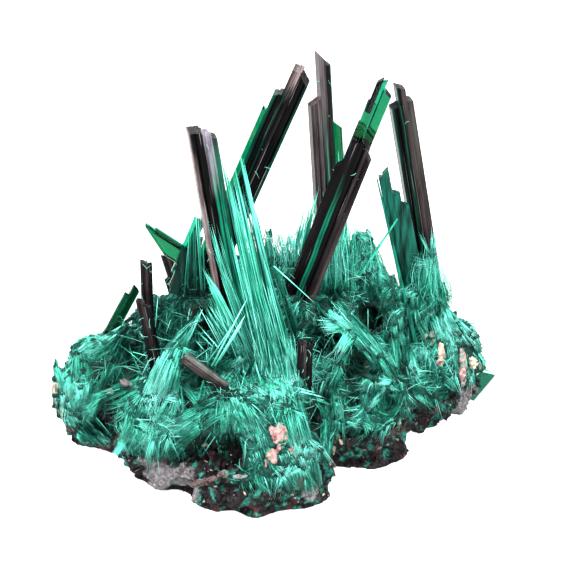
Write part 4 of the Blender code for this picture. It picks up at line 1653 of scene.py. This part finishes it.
def make_dark_prism(name, bright, rng):
    """A dark prism in place of its plain solid, and its clear columns as a second piece."""
    root, tip, turn, columns = PRISMS[name]
    length = (Vector(tip) - Vector(root)).length
    dark = [column for column in columns if (name, column[0]) not in CLEAR_COLUMNS]
    clear = [column for column in columns if (name, column[0]) in CLEAR_COLUMNS]
    low = DEEP_ROOT if name == "left_prism" else 0.0
    most = CLEAR_FROM if name == "front_prism" else 1.0
    shapes = slabs_of(root, tip, turn, dark, rng, low=low, most=most)
    if name == "front_prism":
        shapes += slabs_of(root, tip, turn, (DARK_SPUR,), rng, low=SPUR_FROM * length, width_of_slab=WHOLE)
        shapes += slabs_of(root, tip, turn, (RIGHT_STEP,), rng)
    body = joined(f"{name}_body", shapes)
    look = prism_look(name, along(root, tip, turn), length, BANDS.get(name, PLAIN_BANDS))
    settle(body, look, "dark_crystal", name)
    if clear:
        edge = joined(f"{name}_clear_edge", slabs_of(root, tip, turn, clear, rng, width_of_slab=WHOLE))
        to_metres(edge)
        settle(edge, bright, "clear_crystal")
    return body


def make_clear_end(bright, rng):
    """The thin clear end of front_prism."""
    root, tip, turn, columns = PRISMS["front_prism"]
    low = (CLEAR_FROM - 0.01) * (Vector(tip) - Vector(root)).length
    shapes = slabs_of(root, tip, turn, columns[:4], rng, low=low, thin=0.55, width_of_slab=WHOLE)
    foot = CLEAR_FROM + 0.05
    shapes += slabs_of(root, tip, turn, columns[1:4], rng, low=low, most=foot, width_of_slab=WHOLE)
    end = joined("front_prism_end", shapes)
    to_metres(end)
    settle(end, bright, "clear_crystal")


def make_blades(bright, deep, rng):
    """The clear blades and thin prisms, in place of their plain solids where they have one."""
    for name, (root, tip, turn, columns) in CLEAR_BLADES.items():
        body = joined(f"{name}_body", slabs_of(root, tip, turn, columns, rng, width_of_slab=WHOLE))
        to_metres(body)
        look = bright if name in BRIGHT_BLADES else deep
        if name in STREAKED_BLADES:
            look = streaked_look(f"streaked {name}", *STREAKED_BLADES[name])
        settle(body, look, "clear_crystal", *((name,) if name in BLADE_SOLIDS else ()))


def make_prisms(bright, deep):
    """Every prism and blade, striated. The dark prisms are given back, still in millimetres."""
    rng = random.Random(SEED)
    bodies = [make_dark_prism(name, bright, rng) for name in PRISMS]
    make_clear_end(bright, rng)
    make_blades(bright, deep, rng)
    return bodies


# Needles


def needle_shape(rings):
    """Points and faces of one three-sided needle from 0 to 1 along Z, with some rings between its ends."""
    bm = bmesh.new()
    bmesh.ops.create_cone(bm, cap_ends=True, segments=3, radius1=0.5, radius2=0.0, depth=1.0)
    bmesh.ops.translate(bm, vec=(0.0, 0.0, 0.5), verts=bm.verts[:])
    bmesh.ops.remove_doubles(bm, verts=bm.verts[:], dist=0.0001)
    for step in range(1, rings + 1):
        whole = bm.verts[:] + bm.edges[:] + bm.faces[:]
        height = step / (rings + 1) if rings > 1 else 0.8
        bmesh.ops.bisect_plane(bm, geom=whole, plane_co=(0.0, 0.0, height), plane_no=(0.0, 0.0, 1.0))
    for vert in bm.verts:
        # a real needle stays thick for most of its length
        flat = Vector((vert.co.x, vert.co.y)).length
        if 0.01 < vert.co.z < 0.99 and flat > 0.0:
            wanted = 0.5 * (1.0 - vert.co.z**3) ** 0.8
            vert.co.x *= wanted / flat
            vert.co.y *= wanted / flat
    bmesh.ops.triangulate(bm, faces=bm.faces[:])
    bmesh.ops.recalc_face_normals(bm, faces=bm.faces[:])
    return arrays_of(bm)


def arrays_of(bm):
    """The points and faces of a small shape, which is then freed."""
    bm.verts.index_update()
    points = np.array([vert.co[:] for vert in bm.verts])
    faces = np.array([[vert.index for vert in face.verts] for face in bm.faces])
    bm.free()
    return points, faces


def unit(vectors):
    """Vectors brought to length 1."""
    return vectors / np.maximum(np.linalg.norm(vectors, axis=-1, keepdims=True), 1e-9)


def crowd(name, shape, places, axes, tone, bend=None):
    """One mesh with a small shape set many times: places, three axes with their sizes, and tones."""
    points, faces = shape
    spots = places[:, None, :] + np.einsum("pk,nkd->npd", points, axes)
    high = points[:, 2]
    if bend is not None:
        spots += bend[:, None, :] * (4.0 * high * (1.0 - high))[None, :, None]
    count, each = len(places), len(points)
    corners = (faces[None, :, :] + (np.arange(count) * each)[:, None, None]).reshape(-1)
    mesh = bpy.data.meshes.new(name)
    mesh.vertices.add(count * each)
    mesh.vertices.foreach_set("co", shifted(spots.reshape(-1, 3)).ravel())
    mesh.loops.add(corners.size)
    mesh.loops.foreach_set("vertex_index", corners.astype(np.int32))
    mesh.polygons.add(corners.size // 3)
    mesh.polygons.foreach_set("loop_start", np.arange(0, corners.size, 3, dtype=np.int32))
    mesh.update(calc_edges=True)
    mesh.validate()
    obj = placed(name, mesh)
    # the foot of each shape is a little deeper in colour than its tip
    add_values(obj, "tone", (tone[:, None] * (0.72 + 0.28 * high[None, :])).ravel())
    return obj


class Needles:
    """Many needles, gathered as arrays and then made into meshes."""

    def __init__(self):
        self.rows = []

    def add(self, roots, tips, width, tone, bend=0.0):
        """Needles from roots to tips with their thickness, tone and how far their middles bend aside."""
        roots = np.asarray(roots, dtype=np.float64).reshape(-1, 3)
        count = len(roots)
        parts = (
            roots,
            np.asarray(tips, dtype=np.float64).reshape(-1, 3),
            np.broadcast_to(width, count).reshape(-1, 1),
            np.broadcast_to(tone, count).reshape(-1, 1),
            np.broadcast_to(bend, (count, 3)),
        )
        self.rows.append(np.hstack(parts))

    def build(self, name, rings, rng, material, nodes=()):
        """The needles as finished pieces, each with fewer than 200,000 triangles."""
        rows = np.vstack(self.rows)
        shape = needle_shape(rings)
        root, tip, width, tone, bend = np.split(rows, (3, 6, 7, 8), axis=1)
        line = tip - root
        side = unit(np.cross(line, rng.normal(size=line.shape)))
        deep = unit(np.cross(line, side))
        axes = np.stack((side * width, deep * width, line), axis=1)
        most = PIECE_LIMIT // len(shape[1])
        pieces = math.ceil(len(rows) / most)
        for index, part in enumerate(np.array_split(np.arange(len(rows)), pieces)):
            label = name if pieces == 1 else f"{name}_{index + 1}"
            made = crowd(label, shape, root[part], axes[part], np.clip(tone[part, 0], 0.0, 1.0), bend[part])
            settle(made, material, "fibre", *(nodes if index == 0 else ()))


def mesh_samples(obj, count, rng):
    """Points spread evenly over a mesh, with the normals there."""
    mesh = obj.data
    mesh.calc_loop_triangles()
    corners = np.empty(len(mesh.loop_triangles) * 3, dtype=np.int32)
    mesh.loop_triangles.foreach_get("vertices", corners)
    places = np.empty(len(mesh.vertices) * 3)
    mesh.vertices.foreach_get("co", places)
    places = places.reshape(-1, 3)
    a, b, c = (places[corners.reshape(-1, 3)[:, k]] for k in range(3))
    across = np.cross(b - a, c - a)
    area = np.linalg.norm(across, axis=1)
    picked = rng.choice(len(area), size=count, p=area / area.sum())
    s, t = rng.random((2, count))
    s, t = np.where(s + t > 1.0, 1.0 - s, s), np.where(s + t > 1.0, 1.0 - t, t)
    spots = a[picked] + (b - a)[picked] * s[:, None] + (c - a)[picked] * t[:, None]
    return spots, across[picked] / np.maximum(area[picked][:, None], 1e-12)


def comb(points, normals, rng):
    """The way that matted needles lie at some points: away from the nearest comb point, and downhill."""
    centres = np.array(COMB_POINTS)
    gap = points[:, None, :] - centres[None, :, :]
    far = np.linalg.norm(gap, axis=2) + 0.35 * rng.normal(size=(len(points), len(centres)))
    way = unit(gap[np.arange(len(points)), far.argmin(axis=1)])
    way[:, 2] -= 0.45
    way += 0.2 * rng.normal(size=way.shape)
    way -= normals * (way * normals).sum(axis=1, keepdims=True)
    return unit(way)


def openness(ground, points, normals):
    """How open each place is, from 0 in a crevice to 1 in the open."""
    rng = np.random.default_rng(SEED + 7)
    share = np.zeros(len(points))
    for index, (point, normal) in enumerate(zip(points, normals)):
        start = Vector(point + normal * 0.25)
        for _ in range(8):
            way = Vector(unit(rng.normal(size=3) + normal * 1.1 + np.array((0.0, 0.0, 0.35))))
            if ground.tree.ray_cast(start, way, 5.0)[0] is None:
                share[index] += 0.125
    return share


def felt_locks(crust, ground, rng):
    """Locks of felt: their middles, the way to the tips, how far they close, and their tones, painted
    darker where a lock is less open, as shade in crevices.
    """
    centres, facing = mesh_samples(crust, LOCKS, rng)
    way = comb(centres, facing, rng)
    open_share = openness(ground, centres, facing)
    reach = rng.uniform(0.8, 2.3, LOCKS)
    patch = np.array([noise.noise(Vector(centre) / 1.5) for centre in centres])
    # the tone falls where the lock is less open: painted shade in crevices
    tone = 0.06 + 0.66 * open_share**1.5 + 0.22 * patch + 0.06 * rng.normal(size=LOCKS)
    return centres, way * reach[:, None], rng.uniform(0.6, 1.15, LOCKS), tone


def felt_shade(chance, sunk, light):
    """The tone of one needle as a share of its lock's, with painted light and shade: at random some are
    painted paler as if they shine, others darker as if they lie deep, and a tip sunk in a hollow is painted
    darker as shade.
    """
    own = 1.7 if chance > 0.86 else 0.4 if chance < 0.34 else 1.0
    return own * light * (0.4 if sunk else 1.0)


def make_felt(crust, rock, ground, cut, material):
    """Matted needles all over the crust, in locks that close towards their tips."""
    rng = np.random.default_rng(SEED)
    centres, way, closing, lock_tone = felt_locks(crust, ground, rng)
    find = KDTree(LOCKS)
    for index, centre in enumerate(centres):
        find.insert(centre, index)
    find.balance()
    rock_only = Ground(rock)
    spots, normals = mesh_samples(crust, FELT_NEEDLES, rng)
    chances = rng.random(FELT_NEEDLES)
    lifts = rng.uniform(0.02, 0.32, FELT_NEEDLES)
    roots, tips, tones = [], [], []
    for spot, normal, chance, lift in zip(spots, normals, chances, lifts):
        point = Vector(spot)
        if normal[2] < DOWNWARD or rock_only.gap(point) < ROCK_GAP:
            continue
        if chance > 0.06 and cut.gap(point) < HOLLOW_GAP:
            continue
        lock = find.find(point)[1]
        away = centres[lock] + way[lock] + (spot - centres[lock]) * closing[lock]
        away = spot + (away - spot) * (0.5 + 0.5 * chance) + 0.14 * rng.normal(size=3)
        near, rise, _, gap = ground.tree.find_nearest(Vector(away))
        if gap < 1.0:
            away = np.array(near + rise * lift)
        front = normal[1] < FRONT_FACING
        if front and (on_grain(*pixel_of(spot)) or on_grain(*pixel_of(away))):
            continue
        sunk = cut.gap(Vector(away)) < 0.3
        if (sunk and chance < 0.85) or rock_only.gap(Vector(away)) < TIP_ROCK_GAP:
            continue
        roots.append(spot - normal * SINK)
        tips.append(away)
        # painted light and shade of the recesses and lit ridges, on the side that faces front
        light = light_at(*pixel_of(spot)) if front else 1.0
        tones.append(lock_tone[lock] * felt_shade(chance, sunk, light))
    felt = Needles()
    count = len(roots)
    tones = np.array(tones) * (1.0 + 0.3 * rng.normal(size=count))
    felt.add(np.array(roots), np.array(tips), rng.uniform(0.022, 0.058, count), np.clip(tones, 0.04, 1.0))
    felt.build("matted_needles", 0, rng, material)


def on_rows(rows, s, t):
    """The pixel at a share s across and t down a patch of rows."""
    place = t * (len(rows) - 1)
    index = min(int(place), len(rows) - 2)
    ends = []
    for row in (rows[index], rows[index + 1]):
        step = s * (len(row) - 1)
        left = min(int(step), len(row) - 2)
        share = step - left
        ends.append(tuple(a + (b - a) * share for a, b in zip(row[left], row[left + 1])))
    share = place - index
    return tuple(a + (b - a) * share for a, b in zip(*ends))


def make_combed(ground, cut, material):
    """The combed patches of felt that the photo shows."""
    rng = np.random.default_rng(SEED + 2)
    combed = Needles()
    for rows, count, share, width, dark, pale, lift in COMBED:
        share *= COMBED_SPAN
        wide = math.dist(on_rows(rows, 0.0, 0.5), on_rows(rows, 1.0, 0.5))
        strands = max(3, round(wide / 3.0))
        strand_tone = rng.uniform(0.0, 1.0, strands + 1)
        for _ in range(round(COMBED_SHARE * count)):
            strand = rng.integers(strands + 1)
            s = np.clip((strand + 0.36 * rng.normal()) / strands, 0.0, 1.0)
            span = share * rng.uniform(0.5, 1.2)
            start = rng.uniform(-0.08, 1.0 - span * 0.8)
            end = min(1.0, start + span)
            start = max(0.0, start)
            u1, v1 = on_rows(rows, s, start)
            u2, v2 = on_rows(rows, np.clip(s + 0.04 * rng.normal(), 0.0, 1.0), end)
            root, normal = ground.seen(u1, v1, strict=True)
            tip, rise = ground.seen(u2, v2, strict=True)
            if root is None or tip is None or on_grain(u1, v1) or on_grain(u2, v2):
                continue
            if cut.gap(tip) < 0.2 and rng.random() < 0.9:
                continue
            if (tip - root).length > 2.2 * math.dist((u1, v1), (u2, v2)) * PIXEL + 0.8:
                continue
            height = lift * rng.uniform(0.1, 1.0)
            root = root + normal * (height * 0.4 - SINK)
            tip = tip + rise * height
            shade = (0.35 * strand_tone[strand] + 0.65 * rng.random()) * rng.choice((1.0, 1.0, 0.3))
            # painted light and shade of the recesses and lit ridges
            tone = (0.2 * dark + (pale - 0.2 * dark) * shade) * light_at(u2, v2)
            combed.add(root, tip, width * rng.uniform(0.4, 1.1), tone)
    combed.build("combed_needles", 0, rng, material)


def make_hairs(crust, bodies, ground, material):
    """Loose pale hairs: in nests, over the whole crust and on the prisms."""
    rng = np.random.default_rng(SEED + 3)
    hairs = Needles()
    for (u, v), radius, count, short, long in NESTS:
        for _ in range(count):
            turn, out = rng.uniform(0.0, math.tau), radius * math.sqrt(rng.random())
            root, normal = ground.seen(u + out * math.cos(turn), v + out * math.sin(turn), strict=True)
            if root is None:
                continue
            way = unit(rng.normal(size=3) + 0.5 * np.array(normal))
            length = rng.uniform(short, LONGER_HAIRS * long)
            tip = np.array(root) + way * length
            bend = 0.07 * length * rng.normal(size=3)
            # painted light and shade of the recesses and lit ridges, at the hair's root
            shade = 0.3 + 0.7 * light_at(*pixel_of(root))
            thick = rng.uniform(0.018, 0.034)
            hairs.add(np.array(root) - SINK * way, tip, thick, rng.uniform(0.3, 0.95) * shade, bend)
    spots, normals = mesh_samples(crust, LOOSE_HAIRS, rng)
    way = unit(rng.normal(size=spots.shape) + 0.55 * normals)
    keep = normals[:, 2] > -0.35
    spots, way = spots[keep], way[keep]
    length = rng.uniform(0.6, 1.7, len(spots))[:, None]
    bend = 0.09 * length * rng.normal(size=spots.shape)
    thick = rng.uniform(0.018, 0.032, len(spots))
    hairs.add(spots - SINK * way, spots + way * length, thick, rng.uniform(0.2, 0.9, len(spots)), bend)
    for body in bodies:
        spots, normals = mesh_samples(body, HAIRS_ON_PRISM, rng)
        way = unit(np.cross(normals, rng.normal(size=spots.shape)) + 0.3 * normals)
        length = rng.uniform(0.25, 0.8, len(spots))[:, None]
        tone = rng.uniform(0.95, 1.0, len(spots))
        hairs.add(spots, spots + way * length, 0.02, tone, 0.12 * length * rng.normal(size=spots.shape))
    hairs.build("loose_hairs", 3, rng, material)


def make_sprays(ground, material):
    """The sprays of straight needles, in place of their plain solids."""
    rng = np.random.default_rng(SEED + 1)
    for name, (node, rings, fans) in SPRAYS.items():
        spray = Needles()
        for ends, count, shortest, width, dark, pale, scatter, curl in fans:
            a, b, c, d = (np.array(at_depth(*end)) for end in ends)
            s = rng.random(count)
            t = np.clip(s + 0.18 * rng.normal(size=count), 0.0, 1.0)
            roots = a + (b - a) * s[:, None] + scatter * rng.normal(size=(count, 3))
            tips = c + (d - c) * t[:, None] + scatter * 0.6 * rng.normal(size=(count, 3))
            share = rng.uniform(shortest, 1.0, count) ** 0.8
            tips = roots + (tips - roots) * share[:, None]
            length = np.linalg.norm(tips - roots, axis=1, keepdims=True)
            thick = width * rng.uniform(0.35, 1.15, count)
            tone = rng.uniform(dark, pale, count)
            spray.add(roots, tips, thick, tone, curl * length * rng.normal(size=(count, 3)))
        spray.build(name, rings, rng, material, nodes=(node,) if node else ())
    single = Needles()
    for root, tip, width, tone in NEEDLES_SEEN:
        ends = []
        for u, v, depth in (root, tip):
            if depth is None:
                spot, normal = ground.seen(u, v)
                ends.append(spot + normal * (0.2 + width / 2))
            else:
                ends.append(at_depth(u, v, depth))
        single.add(*ends, width, tone)
    single.build("single_needles", 1, rng, material)


def make_grit(rock, material):
    """Small broken grains all over the rock."""
    rng = np.random.default_rng(SEED + 4)
    spots, normals = mesh_samples(rock, GRIT_GRAINS, rng)
    keep = (spots[:, 2] > 0.5) & (normals[:, 2] > -0.5)
    spots = spots[keep]
    bm = bmesh.new()
    bmesh.ops.create_icosphere(bm, subdivisions=1, radius=0.5)
    size = 2.2 * rng.uniform(0.08, 0.2, (len(spots), 1, 1)) ** 1.3
    size = size * rng.uniform(0.6, 2.2, (len(spots), 3, 1))
    axes = unit(rng.normal(size=(len(spots), 3, 3))) * size
    tone = rng.choice((0.3, 0.7, 0.7, 0.7, 1.0, 1.0, 1.0, 1.0), len(spots))
    grit = crowd("rock_grains", arrays_of(bm), spots, axes, tone)
    settle(grit, material, "rock")


# Floor, light and camera


def make_set():
    """Floor, lights, sky and camera."""
    bm = bmesh.new()
    bmesh.ops.create_grid(bm, x_segments=1, y_segments=1, size=2.0)
    floor = object_from(bm, "floor")
    look = Look("pale floor", 0.9)
    look.shader.inputs["Base Color"].default_value = FLOOR_COLOUR
    look.shader.inputs["Emission Color"].default_value = (1.0, 1.0, 0.99, 1.0)
    look.shader.inputs["Emission Strength"].default_value = FLOOR_GLOW
    floor.data.materials.append(look.material)

    world = bpy.data.worlds.new("studio")
    bpy.context.scene.world = world
    world.use_nodes = True
    sky = world.node_tree.nodes["Background"]
    sky.inputs["Color"].default_value = (1.0, 1.0, 1.0, 1.0)
    sky.inputs["Strength"].default_value = SKY

    for name, place, size, power in (
        ("key", (-0.2, -0.16, 0.36), 0.1, 6.5),
        ("front", (0.06, -0.4, 0.22), 0.2, 3.2),
        ("fill", (0.34, -0.1, 0.3), 0.3, 4.6),
        ("back", (0.05, 0.36, 0.34), 0.3, 2.4),
    ):
        lamp = bpy.data.lights.new(name, "AREA")
        lamp.size = size
        lamp.energy = power
        obj = placed(name, lamp)
        obj.location = place
        aim = Vector((0.0, 0.0, 0.01)) - Vector(place)
        obj.rotation_euler = aim.to_track_quat("-Z", "Y").to_euler()

    camera = placed("camera", bpy.data.cameras.new("camera"))
    camera.data.lens = 100.0
    camera.data.sensor_width = 36.0
    camera.data.clip_start = 0.001
    camera.location = (EYE + CENTRE) * MM
    camera.rotation_euler = (math.pi / 2 - VIEW_TILT, 0.0, 0.0)
    bpy.context.scene.camera = camera
    bpy.context.scene.view_settings.view_transform = "Standard"


# The whole specimen

make_set()
needles = needle_look()
grains = grain_look()
rock, crust, cut = make_ground()
ground = Ground(rock, crust)
make_felt(crust, rock, ground, cut, needles)
make_combed(ground, cut, needles)
make_sprays(ground, needles)
make_grains(ground, grains)
make_grit(rock, grains)
bright_clear = clear_look("clear crystal", (0.0, 0.8, 0.7), 13000.0)
deep_clear = clear_look("deep clear crystal", (0.0, 0.62, 0.52), 22000.0)
prisms = make_prisms(bright_clear, deep_clear)
make_hairs(crust, prisms, ground, needles)
for body in (rock, crust, *prisms):
    to_metres(body)
settle(rock, rock_look(), "rock", "matrix")
settle(crust, crust_look(), "fibre", "fibre_crust")
for node, (name, low, high) in SINGLE_NEEDLES.items():
    bpy.data.objects[node].data.materials[0] = streaked_look(name, low, high)
